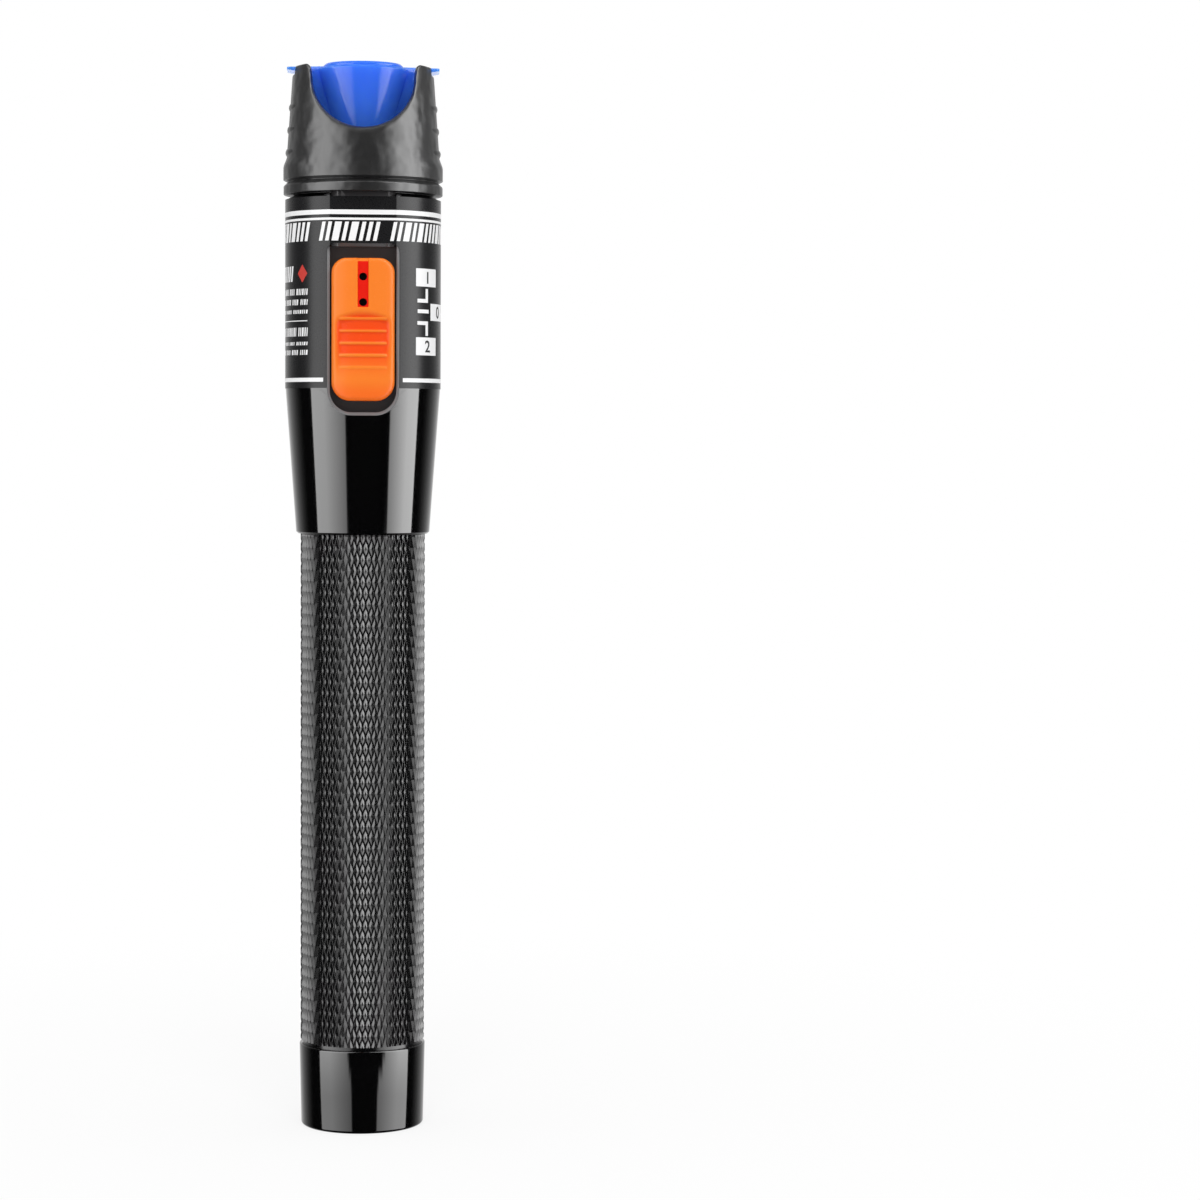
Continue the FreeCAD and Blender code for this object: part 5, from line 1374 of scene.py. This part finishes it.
    def build_button(self) -> bpy.types.Object:
        """Makes the button as one closed mesh with its two holes.

        Returns:
            The button.
        """
        fixed, spread = self.stations()
        levels = self.rows()
        points, rows = [], []
        for level in levels:
            half = self.half_at(level)
            right = fixed + [fixed[-1] + (half - fixed[-1]) * part for part in spread]
            line = [-place for place in reversed(right[1:])] + right
            rows.append(list(range(len(points), len(points) + len(line))))
            points += [(across, -self.front(across, level), level) for across in line]
        backs = []
        for level in levels:
            half = self.half_at(level)
            backs.append((len(points), len(points) + 1))
            points += [(-half, -self.back, level), (half, -self.back, level)]
        faces = []
        for low, high, under, over in zip(rows, rows[1:], backs, backs[1:]):
            faces += [(low[i], low[i + 1], high[i + 1], high[i]) for i in range(len(low) - 1)]
            faces.append((low[0], high[0], over[0], under[0]))
            faces.append((low[-1], high[-1], over[1], under[1]))
            faces.append((under[0], over[0], over[1], under[1]))
        faces.append((*rows[0], backs[0][1], backs[0][0]))
        faces.append((*rows[-1], backs[-1][1], backs[-1][0]))
        button = mesh_piece("thumb_button", points, faces, 50.0)
        for level in self.hole_levels:
            self.drill(button, level)
        return button

    def rows(self) -> list[float]:
        """Sets out the levels of the button's rows, closest together at its ends and on the ribs.

        Returns:
            The levels, in millimetres.
        """
        turns = [math.pi / 2 * step / self.corner_rows for step in range(self.corner_rows + 1)]
        levels = [self.foot + self.foot_corner * (1 - math.cos(turn)) for turn in turns]
        level = levels[-1]
        low = self.top - self.groove_length
        while level < low - 0.3:
            level += self.row_pitch
            levels.append(level)
        levels = [item for item in levels if item < low - 0.1]
        levels += [low + shift for shift in (-0.06, -0.02, 0.03, 0.1)]
        stop = self.top - self.top_corner
        levels += [low + 0.1 + (stop - low - 0.1) * step / self.groove_rows
                   for step in range(1, self.groove_rows + 1)]
        return levels + [stop + self.top_corner * math.sin(turn) for turn in turns[1:]]

    def drill(self, button: bpy.types.Object, level: float) -> None:
        """Cuts one hole into the groove.

        Args:
            button: The button.
            level: Level of the hole, in millimetres.
        """
        floor = self.crown - self.groove_depth
        around = self.hole_sides
        points, faces = [], []
        for depth in (floor + 1.0, floor - self.hole_depth):
            for step in range(around):
                angle = 2 * math.pi * step / around
                points.append((self.hole_radius * math.cos(angle), -depth,
                               level + self.hole_radius * math.sin(angle)))
        for step in range(around):
            ahead = (step + 1) % around
            faces.append((step, ahead, around + ahead, around + step))
        faces += [tuple(range(around)), tuple(range(around, 2 * around))]
        cutter = mesh_piece("hole_cutter", points, faces)
        cut = button.modifiers.new("hole", "BOOLEAN")
        cut.operation = "DIFFERENCE"
        cut.solver = "EXACT"
        cut.object = cutter
        seen = button.evaluated_get(bpy.context.evaluated_depsgraph_get())
        done = bpy.data.meshes.new_from_object(seen)
        button.modifiers.clear()
        done.set_sharp_from_angle(angle=math.radians(50))
        button.data = done
        bpy.data.objects.remove(cutter)

    def shade_dish(self, mesh: bpy.types.Mesh) -> None:
        """Paints shade as deeper orange: deep in the scoop, less on the ribs, more at the foot.

        Args:
            mesh: The button's mesh.
        """
        painted_hollow_shade = mesh.attributes.new("painted_hollow_shade", "FLOAT", "POINT")
        for index, vertex in enumerate(mesh.vertices):
            across, level = vertex.co.x / MM, vertex.co.z / MM
            rib = self.ribs(across, level) / self.rib_rise
            depth = self.dish(across, level) / self.dish_depth - rib
            foot = self.foot_shade * ease(self.dish_foot, self.foot + 0.8, level)
            painted_hollow_shade.data[index].value = min(1.0, max(foot, depth * 1.5))

    def paint_groove(self, mesh: bpy.types.Mesh) -> None:
        """Gives the groove its red, and paints shade into the holes with the dark finish.

        Args:
            mesh: The button's mesh, with the two materials after its own.
        """
        floor = self.crown - self.groove_depth
        for face in mesh.polygons:
            place = face.center / MM
            if abs(place.x) > self.groove_half or place.z < self.top - self.groove_length:
                continue
            # painted shade: the holes' walls and floors get the dark finish
            if -place.y < floor - 0.05 and place.z < self.top - 1.0 and -place.y > self.back + 0.5:
                face.material_index = 2
            elif -place.y < self.front(self.groove_half + 0.5,
                                       place.z) - 0.12 and place.z < self.top - 0.5:
                face.material_index = 1


# --- guard ---------------------------------------------------------------------------
@dataclass
class Guard:
    """Moulded guard: grooved ring, two horns, two U-shaped cuts and ribbed sides."""

    seat: float = 153.15
    top: float = 173.9
    ring_radius: float = 13.0
    ring_top: float = 154.55
    groove_radius: float = 12.3
    groove_level: float = 155.22
    band_radius: float = 13.035
    band_foot: float = 155.58
    band_top: float = 157.6
    waist_radius: float = 12.5
    waist_level: float = 159.1
    side_from: float = 38.0
    side_full: float = 66.0
    front_blend: float = 164.5
    crown_radius: float = 11.45
    bore: float = 10.4
    bore_top: float = 163.0
    inner_radius: float = 9.9
    grid_foot: float = 161.0
    cut_radius: float = 7.8
    cut_centre: float = 172.25
    cut_taper: float = 5.0
    horn_round: float = 1.25
    notch_half: float = 3.1
    notch_floor: float = 172.7
    lip: float = 1.1
    horn_lip: float = 0.45
    inner_lip: float = 0.2
    rib_levels: tuple[float, ...] = (160.0, 163.65, 167.3)
    rib_section: float = 0.85
    rib_sink: float = 0.6
    rib_arc: float = 54.0
    rib_steps: int = 40
    rib_sides: int = 20
    rib_end: Pair = (0.22, 0.3)
    waist_blend: Pair = (0.3, 0.1)
    lip_side: float = 1.08
    lip_blend: Pair = (0.03, 0.12)
    column_shares: Pair = (0.45, 0.55)
    row_pitch: float = 0.3
    wall_rows: int = 12
    lip_steps: int = 6
    inner_rows: int = 4
    cut_steps: int = 28

    def build(self) -> None:
        """Builds and dresses the guard and its ribs."""
        put_on(Body.PEN, GUARD_PLASTIC, self.build_shell(), "head_guard")
        self.build_ribs()

    def taper(self, level: float) -> float:
        """Outside radius of the tapered part at a level."""
        part = (level - self.waist_level) / (self.top - self.waist_level)
        return self.waist_radius + (self.crown_radius - self.waist_radius) * part

    def skin(self, angle: float, level: float) -> float:
        """Works out the outside above the groove, flared at the sides and straighter in front.

        Args:
            angle: Angle from the front, in radians.
            level: Level up the pen, in millimetres.

        Returns:
            Outside radius there, in millimetres.
        """
        flared = self.waist_radius
        if level > self.waist_level:
            flared = self.taper(level)
        elif level < self.waist_level:
            above, below = self.waist_blend
            fullness = ease(self.waist_level + above, self.band_top - below, level)
            flared += (self.band_radius - self.waist_radius) * fullness
        if level >= self.front_blend:
            return self.taper(level)
        part = (level - self.band_foot) / (self.front_blend - self.band_foot)
        straight = self.band_radius + (self.taper(self.front_blend) - self.band_radius) * part
        away = abs(math.degrees(math.atan2(math.sin(angle), abs(math.cos(angle)))))
        return straight + (flared - straight) * ease(self.side_from, self.side_full, away)

    def quarter(self, inner: bool) -> list[Pair]:
        """Upper edge of a quarter of the guard, from the middle of a cut to the middle of a horn.

        Args:
            inner: Whether the edge is the inside one.

        Returns:
            Places as (angle from the front in radians, level in millimetres).
        """
        def radius(level: float) -> float:
            """Radius of the shell that the edge lies on, at a level."""
            return self.inner_radius if inner else self.taper(level)

        def wall(across: float, level: float) -> float:
            """Reach of the tapered cut where the shell is this far off the axis plane."""
            ahead = math.sqrt(max(radius(level) ** 2 - across ** 2, 1.0))
            return self.cut_radius + ahead * math.tan(math.radians(self.cut_taper))

        edge: list[Pair] = []
        for step in range(self.cut_steps + 1):
            turn = math.pi / 2 * step / self.cut_steps
            across, level = self.cut_radius * math.sin(turn), self.cut_centre
            for _ in range(8):
                reach = wall(across, level)
                across, level = reach * math.sin(turn), self.cut_centre - reach * math.cos(turn)
            edge.append((math.asin(across / radius(level)), level))
        side = self.cut_radius
        for _ in range(6):
            side = wall(side, self.top)
        start = math.asin(side / radius(self.top))
        stop = self.top - self.horn_round
        edge += [(edge[-1][0] + (start - edge[-1][0]) * step / 3,
                  self.cut_centre + (stop - self.cut_centre) * step / 3) for step in (1, 2, 3)]
        for step in range(1, 7):
            turn = math.pi / 2 * step / 6
            edge.append((start + self.horn_round * (1 - math.cos(turn)) / radius(self.top),
                         stop + self.horn_round * math.sin(turn)))
        notch = math.acos(self.notch_half / radius(self.top))
        rim = edge[-1][0]
        edge += [(rim + (notch - rim) * step / 6, self.top) for step in range(1, 7)]
        edge += [(notch, self.top + (self.notch_floor - self.top) * step / 3) for step in (1, 2, 3)]
        edge += [(notch + (math.pi / 2 - notch) * step / 3, self.notch_floor) for step in (1, 2, 3)]
        return edge

    def lip_at(self, angle: float) -> float:
        """Sizes the lip's round: wide along the cuts and fine on the horns' tops.

        Args:
            angle: Angle from the front, in radians.

        Returns:
            Size of the round there, in millimetres.
        """
        away = math.atan2(abs(math.sin(angle)), abs(math.cos(angle)))
        side = math.asin(self.cut_radius * self.lip_side / self.crown_radius)
        before, after = self.lip_blend
        return self.lip + (self.horn_lip - self.lip) * ease(side - before, side + after, away)

    def full_edge(self, inner: bool) -> list[Pair]:
        """Draws the upper edge all the way round.

        Args:
            inner: Whether the edge is the inside one.

        Returns:
            Places as (angle from the front in radians, level in millimetres).
        """
        part = self.quarter(inner)
        edge = list(part)
        edge += [(math.pi - angle, level) for angle, level in reversed(part[:-1])]
        edge += [(math.pi + angle, level) for angle, level in part[1:]]
        edge += [(2 * math.pi - angle, level) for angle, level in reversed(part[1:-1])]
        return edge

    def foot_angles(self, edge: Sequence[Pair]) -> list[float]:
        """Spreads the columns at the grid's foot: partly below the edge's places, partly evenly.

        Args:
            edge: Upper edge all the way round.

        Returns:
            Angles of the columns from the front, in radians.
        """
        lengths = [0.0]
        closed = list(edge) + [(edge[0][0] + 2 * math.pi, edge[0][1])]
        for here, there in zip(closed, closed[1:]):
            run = math.hypot((there[0] - here[0]) * self.waist_radius, there[1] - here[1])
            lengths.append(lengths[-1] + run)
        below, even = self.column_shares
        return [below * angle + even * 2 * math.pi * length / lengths[-1]
                for (angle, _), length in zip(edge, lengths)]

    def at(self, angle: float, level: float, radius: float) -> Vector:
        """Point at an angle from the front, a level and a radius."""
        return Vector((radius * math.sin(angle), -radius * math.cos(angle), level))

    def build_shell(self) -> bpy.types.Object:
        """Makes the guard as one closed mesh on its exact taper, with rounded lips.

        Returns:
            The guard without its ribs.
        """
        outer, inner = self.full_edge(False), self.full_edge(True)
        feet = self.foot_angles(outer)
        profile = rounded((
            (self.bore, self.seat), (self.ring_radius, self.seat, 0.16),
            (self.ring_radius, self.ring_top, 0.30),
            (self.groove_radius, self.groove_level, 0.06), (self.band_radius, self.band_foot, 0.14),
            (self.band_radius, self.band_foot + 0.6)), 5)[:-1]
        rings: list[list[Vector]] = [[self.at(angle, level, radius) for angle in feet]
                                     for radius, level in profile]
        level = self.band_foot + self.row_pitch
        while level < self.grid_foot + 0.01:
            rings.append([self.at(angle, level, self.skin(angle, level)) for angle in feet])
            level += self.row_pitch
        tips = [self.at(angle, level, self.taper(level)) for angle, level in outer]
        roots = [self.at(angle, level, self.inner_radius) for angle, level in inner]
        starts = []
        for foot, (angle, level), tip in zip(feet, outer, tips):
            run = (tip - self.at(foot, self.grid_foot, self.skin(foot, self.grid_foot))).length
            part = 1 - self.lip_at(angle) / run
            starts.append((foot + (angle - foot) * part,
                           self.grid_foot + (level - self.grid_foot) * part))
        for row in range(1, self.wall_rows + 1):
            part = row / self.wall_rows
            ring = []
            for foot, (angle, level) in zip(feet, starts):
                here = self.grid_foot + (level - self.grid_foot) * part
                turn = foot + (angle - foot) * part
                ring.append(self.at(turn, here, self.skin(turn, here)))
            rings.append(ring)
        walls = []
        for (angle, _), tip, root in zip(outer, tips, roots):
            inward = root - tip
            walls.append(tip + inward.normalized() * min(self.lip_at(angle), inward.length * 0.5))
        rings += bend(rings[-1], tips, walls, self.lip_steps)
        inner_starts = [root + (tip - root).normalized() * self.inner_lip
                        for tip, root in zip(tips, roots)]
        inner_ends = [self.at(angle, level - self.inner_lip, self.inner_radius)
                      for angle, level in inner]
        rings += [inner_starts, *bend(inner_starts, roots, inner_ends, 3)]
        for row in range(1, self.inner_rows + 1):
            part = row / self.inner_rows
            ring = []
            for foot, (angle, level) in zip(feet, inner):
                here = level - self.inner_lip + (self.bore_top - level + self.inner_lip) * part
                ring.append(self.at(angle + (foot - angle) * part, here, self.inner_radius))
            rings.append(ring)
        rings.append([self.at(angle, self.bore_top, self.bore) for angle in feet])
        count = len(feet)
        points = [tuple(point) for ring in rings for point in ring]
        faces = []
        for index in range(len(rings)):
            low, high = index * count, (index + 1) % len(rings) * count
            faces += [(low + step, low + (step + 1) % count, high + (step + 1) % count, high + step)
                      for step in range(count)]
        return mesh_piece("port_guard", points, faces, 34.0)

    def build_ribs(self) -> None:
        """Rounded ribs on both sides: arcs swept by a node tree and set out by level."""
        recipe = Recipe("guard_ribs")
        levels = recipe.size("Ribs a side", len(self.rib_levels))
        pitch = recipe.size("Pitch", (self.rib_levels[1] - self.rib_levels[0]) * MM)
        lowest = recipe.size("Lowest", self.rib_levels[0] * MM)
        base = self.taper(self.rib_levels[0]) - self.rib_sink
        radius = recipe.size("Radius at lowest", base * MM)
        fall = (self.waist_radius - self.crown_radius) / (self.top - self.waist_level)
        slope = recipe.size("Taper", fall)
        round_size = recipe.size("Section radius", self.rib_section * MM)
        arc = recipe.size("Arc", math.radians(self.rib_arc))
        index = recipe.node("GeometryNodeInputIndex").outputs[0]
        rise = recipe.math("MULTIPLY", recipe.math("MODULO", index, levels), pitch)
        side = recipe.math("MULTIPLY", recipe.math("FLOOR", recipe.math("DIVIDE", index, levels)),
                           math.pi)
        dots = recipe.node("GeometryNodePoints", Count=recipe.math("MULTIPLY", levels, 2.0),
                           Position=recipe.vector(0.0, 0.0, recipe.math("ADD", lowest, rise)))
        bow = recipe.node("GeometryNodeCurveArc", Resolution=self.rib_steps, Radius=radius,
                          Start_Angle=recipe.math("MULTIPLY", arc, -0.5), Sweep_Angle=arc)
        along = recipe.node("GeometryNodeSplineParameter").outputs["Factor"]
        power, least = self.rib_end
        swell = recipe.math("POWER", recipe.math("SINE", recipe.math("MULTIPLY", along, math.pi)),
                            power)
        section = recipe.node("GeometryNodeCurvePrimitiveCircle", Resolution=self.rib_sides,
                              Radius=round_size)
        swept = recipe.node("GeometryNodeCurveToMesh", Curve=bow.outputs[0],
                            Profile_Curve=section.outputs[0],
                            Scale=recipe.math("MAXIMUM", swell, least), Fill_Caps=True)
        lost = recipe.math("DIVIDE", recipe.math("MULTIPLY", rise, slope), radius)
        shrink = recipe.math("SUBTRACT", 1.0, lost)
        spread = recipe.node("GeometryNodeInstanceOnPoints", Points=dots.outputs[0],
                             Instance=swept.outputs[0], Rotation=recipe.vector(0.0, 0.0, side),
                             Scale=recipe.vector(shrink, shrink, 1.0))
        ribs = recipe.bake(spread.outputs[0], GUARD_PLASTIC)
        ribs.data.shade_smooth()
        put_on(Body.PEN, GUARD_PLASTIC, ribs)


# --- dust cap ------------------------------------------------------------------------
@dataclass
class DustCap:
    """Blue cap over the fibre port, with ears that thin out towards their tips."""

    ear_from: float = 10.2
    ear_tip: float = 12.4
    ear_level: float = 171.0
    ear_thinning: float = 0.6
    ear_droop: float = 0.15
    cone_foot: float = 163.2
    cone_top: float = 172.7
    cone_match: float = 0.94

    def build(self) -> None:
        """Builds and dresses the cap."""
        cap = fair_copy("dust_cap", "port_cap")
        self.thin_ears(cap.data)
        self.level_cone(cap.data)
        put_on(Body.CAP, BLUE_PLASTIC, cap, "dust_cap")

    def thin_ears(self, mesh: bpy.types.Mesh) -> None:
        """Draws the undersides of the ears up towards the tips.

        Args:
            mesh: The cap's mesh.
        """
        ears = [vertex for vertex in mesh.vertices
                if abs(vertex.co.x) > self.ear_from * MM and vertex.co.z > self.ear_level * MM]
        top = max(vertex.co.z for vertex in ears)
        for vertex in ears:
            part = ease(self.ear_from, self.ear_tip, abs(vertex.co.x) / MM)
            depth = (top - vertex.co.z) * (1 - self.ear_thinning * part)
            vertex.co.z = top - depth - self.ear_droop * MM * part

    def level_cone(self, mesh: bpy.types.Mesh) -> None:
        """Gives the cone level normals in place of its own, which is a shading device.

        The cone then mirrors what stands round the pen. Its shape stays as it is.

        Args:
            mesh: The cap's mesh.
        """
        normals = [corner.vector.copy() for corner in mesh.corner_normals]
        for face in mesh.polygons:
            spoke = Vector((face.center.x, face.center.y, 0.0)).normalized()
            if not self.cone_foot < face.center.z / MM < self.cone_top:
                continue
            if face.normal.dot(spoke) < self.cone_match:
                continue
            for corner in face.loop_indices:
                place = mesh.vertices[mesh.loops[corner].vertex_index].co
                normals[corner] = Vector((place.x, place.y, 0.0)).normalized()
        mesh.normals_split_custom_set(normals)


# --- what is inside ------------------------------------------------------------------
@dataclass
class Inside:
    """Switch, board and laser, which the outside mostly hides."""

    def build(self) -> None:
        """Gives every hidden CAD node its finish."""
        finishes = {
            "switch_case": PLATED_STEEL, "switch_lever": BLACK_PLASTIC,
            "circuit_board": BOARD_MASK, "board_screws": PLATED_STEEL, "driver_chip": CHIP_BLACK,
            "inductor": CHIP_BLACK, "capacitors": CAPACITOR_TAN, "contact_pin": BRASS,
            "laser_housing": BRASS, "laser_diode": GOLD_PLATE, "focus_lens": LENS_GLASS,
            "port_barrel": NICKEL, "ceramic_sleeve": CERAMIC,
        }
        for node, finish in finishes.items():
            finish.coat_node(node)
        LOG.info("hidden nodes: %d finished", len(finishes))


# --- studio --------------------------------------------------------------------------
@dataclass
class Studio:
    """Floor, lights, background and camera. Sizes in metres and degrees."""

    floor_radius: float = 0.5
    floor_columns: int = 96
    floor_tone: Colour = (0.86, 0.86, 0.86)
    floor_fade: Pair = (0.03, 0.22)
    floor_least: float = 0.8
    card_radius: float = 0.6
    card_levels: tuple[float, ...] = (-0.35, -0.15, -0.1, -0.05, 0.0, 0.05, 0.1, 0.42)
    card_bend: float = 0.42
    card_turn: float = 8.0
    card_over: int = 10
    card_columns: int = 64
    left_card: Point = (-83.5, -26.0, -19.0)
    right_card: Point = (91.5, 41.0, 27.0)
    card_fade: float = 0.42
    card_rise: float = 1.6
    card_edge: float = 0.03
    card_slant: float = -0.13
    card_dim: float = 0.5
    card_dim_levels: Pair = (-0.17, 0.08)
    left_light: float = 2.8
    right_light: float = 4.0
    top_size: float = 0.5
    top_power: float = 3.5
    top_place: Point = (0.0, -0.45, 0.85)
    top_aim: Point = (0.0, 0.0, 0.1)
    ambient: float = 0.85
    backdrop: float = 1.0
    behind_from: float = 0.22
    behind_power: float = 2.0
    dark_front: float = 0.005
    eye: Point = (0.0, -0.54, 0.115)
    aim: Point = (0.03924, 0.0, 0.0869)
    roll: float = 0.28
    lens: float = 98.07
    sensor: float = 36.0
    nearest: float = 0.01

    def build(self) -> None:
        """Sets up the whole studio."""
        self.build_floor()
        self.build_card("left_softbox", *self.left_card, self.left_light)
        self.build_card("right_softbox", *self.right_card, self.right_light)
        self.build_top_light()
        self.build_background()
        self.build_camera()

    def build_floor(self) -> None:
        """Makes a round pale floor that is white to the camera but for a soft shadow."""
        count = self.floor_columns
        turns = [2 * math.pi * step / count for step in range(count)]
        points = [(0.0, 0.0, 0.0)]
        points += [(self.floor_radius * math.cos(turn) / MM,
                    self.floor_radius * math.sin(turn) / MM, 0.0) for turn in turns]
        faces = [(0, 1 + step, 1 + (step + 1) % count) for step in range(count)]
        floor = mesh_piece("studio_floor", points, faces)
        floor.data.materials.append(self.floor_material())
        floor.visible_glossy = False

    def floor_material(self) -> bpy.types.Material:
        """Makes the floor's material: matt, and white to the camera away from the pen.

        Returns:
            The material.
        """
        made = bare_material("studio_floor")
        wiring = Wiring(made.node_tree)
        matt = wiring.node("ShaderNodeBsdfDiffuse", Color=(*self.floor_tone, 1.0))
        plain = wiring.node("ShaderNodeEmission", Color=WHITE)
        path = wiring.node("ShaderNodeLightPath").outputs
        place = wiring.node("ShaderNodeTexCoord").outputs["Object"]
        reach = wiring.node("ShaderNodeVectorMath", Vector=place)
        reach.operation = "LENGTH"
        near, far = self.floor_fade
        fade = wiring.node("ShaderNodeMapRange", Value=reach.outputs["Value"], From_Min=near,
                           From_Max=far, To_Min=self.floor_least)
        fade.interpolation_type = "SMOOTHSTEP"
        seen = wiring.math("MAXIMUM", path["Is Camera Ray"], path["Is Transmission Ray"])
        share = wiring.math("MULTIPLY", seen, fade.outputs["Result"])
        mix = wiring.node("ShaderNodeMixShader", Fac=share)
        wiring.feed(mix.inputs[1], matt.outputs[0])
        wiring.feed(mix.inputs[2], plain.outputs[0])
        wiring.feed(made.node_tree.nodes["Material Output"].inputs["Surface"], mix.outputs[0])
        return made

    def build_card(self, name: str, outer: float, upper: float, lower: float,
                   strength: float) -> None:
        """Makes a tall curved softbox, bright at its outer edge, dimmer at its slanting inner one.

        Args:
            name: Name of the card.
            outer: Azimuth of the bright edge, in degrees from the front.
            upper: Azimuth of the dimmer edge from the floor's level up.
            lower: Azimuth of the dimmer edge at the card's foot.
            strength: Emission at the bright edge.
        """
        top = self.card_levels[-1]
        rows = [(1.0, level) for level in self.card_levels]
        for step in range(1, self.card_over + 1):
            turn = math.radians(self.card_turn * step)
            rows.append((math.cos(turn), top + self.card_bend * math.sin(turn)))
        points, faces = [], []
        for step in range(self.card_columns + 1):
            angle = math.radians(outer + (lower - outer) * step / self.card_columns)
            for share, level in rows:
                radius = self.card_radius * share
                points.append((radius * math.sin(angle) / MM, -radius * math.cos(angle) / MM,
                               level / MM))
        for step in range(self.card_columns):
            here, ahead = step * len(rows), (step + 1) * len(rows)
            faces += [(here + row, here + row + 1, ahead + row + 1, ahead + row)
                      for row in range(len(rows) - 1)]
        card = mesh_piece(name, points, faces)
        glow = card.data.attributes.new("glow", "FLOAT", "POINT")
        for index, vertex in enumerate(card.data.vertices):
            place = vertex.co
            angle = math.degrees(math.atan2(place.x, -place.y))
            inner = upper + (lower - upper) * ease(0.0, self.card_slant, place.z)
            part = (angle - inner) / (outer - inner)
            rise = min(1.0, max(0.0, part) * self.card_rise)
            bright = self.card_fade + (1 - self.card_fade) * rise
            height = self.card_dim + (1 - self.card_dim) * ease(*self.card_dim_levels, place.z)
            glow.data[index].value = bright * ease(0.0, self.card_edge, part) * height
        card.data.materials.append(self.glow_material(name, strength))
        card.visible_camera = False
        card.visible_diffuse = False

    def glow_material(self, name: str, strength: float) -> bpy.types.Material:
        """Makes a material that shines as the mesh's "glow" attribute says.

        Args:
            name: Name of the material.
            strength: Emission where the attribute is 1.

        Returns:
            The material.
        """
        made = bare_material(name)
        wiring = Wiring(made.node_tree)
        level = wiring.node("ShaderNodeAttribute")
        level.attribute_name = "glow"
        light = wiring.node("ShaderNodeEmission",
                            Strength=wiring.math("MULTIPLY", level.outputs["Fac"], strength))
        wiring.feed(made.node_tree.nodes["Material Output"].inputs["Surface"], light.outputs[0])
        return made

    def build_top_light(self) -> None:
        """Hangs a large soft light above the front."""
        light = bpy.data.lights.new("top_softbox", "AREA")
        light.shape = "DISK"
        light.size = self.top_size
        light.energy = self.top_power
        lamp = bpy.data.objects.new("top_softbox", light)
        lamp.location = self.top_place
        lamp.visible_glossy = False
        sight = Vector(self.top_aim) - lamp.location
        lamp.rotation_euler = sight.to_track_quat("-Z", "Y").to_euler()
        bpy.context.scene.collection.objects.link(lamp)

    def build_background(self) -> None:
        """Makes the background white; gloss sees it behind the pen and a dark studio in front."""
        world = bpy.data.worlds.new("studio")
        bpy.context.scene.world = world
        world.use_nodes = True
        wiring = Wiring(world.node_tree)
        path = wiring.node("ShaderNodeLightPath").outputs
        ray = wiring.node("ShaderNodeTexCoord").outputs["Generated"]
        split = wiring.node("ShaderNodeSeparateXYZ", Vector=ray)
        behind = wiring.node("ShaderNodeMapRange", Value=split.outputs["Y"],
                             From_Min=self.behind_from)
        square = wiring.math("POWER", behind.outputs["Result"], self.behind_power)
        glow = wiring.node("ShaderNodeMapRange", Value=square, To_Min=self.dark_front,
                           To_Max=self.backdrop)
        gloss = wiring.mix(path["Is Glossy Ray"], self.ambient, glow.outputs["Result"])
        clear = wiring.math("MAXIMUM", path["Is Camera Ray"], path["Is Transmission Ray"])
        backdrop = world.node_tree.nodes["Background"]
        wiring.feed(backdrop.inputs["Color"], WHITE)
        wiring.feed(backdrop.inputs["Strength"], wiring.mix(clear, gloss, 1.0))

    def build_camera(self) -> None:
        """Sets up the camera, low in front of the head."""
        data = bpy.data.cameras.new("camera")
        data.lens = self.lens
        data.sensor_width = self.sensor
        data.clip_start = self.nearest
        eye = bpy.data.objects.new("camera", data)
        eye.location = self.eye
        level = (Vector(self.aim) - Vector(self.eye)).to_track_quat("-Z", "Y")
        eye.rotation_euler = (level @ Quaternion((0.0, 0.0, 1.0),
                                                 math.radians(self.roll))).to_euler()
        bpy.context.scene.collection.objects.link(eye)
        bpy.context.scene.camera = eye


def main() -> None:
    """Builds the dressed part and the studio."""
    logging.basicConfig(level=logging.INFO, format="%(message)s")
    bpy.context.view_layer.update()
    bpy.context.scene.view_settings.view_transform = "Standard"
    Studio().build()
    for assembly in (TailCap(), Grip(), Head(), SlideSwitch(), Guard(), DustCap(), Inside()):
        assembly.build()
        LOG.info("%s done", type(assembly).__name__)


if __name__ == "__main__":
    main()
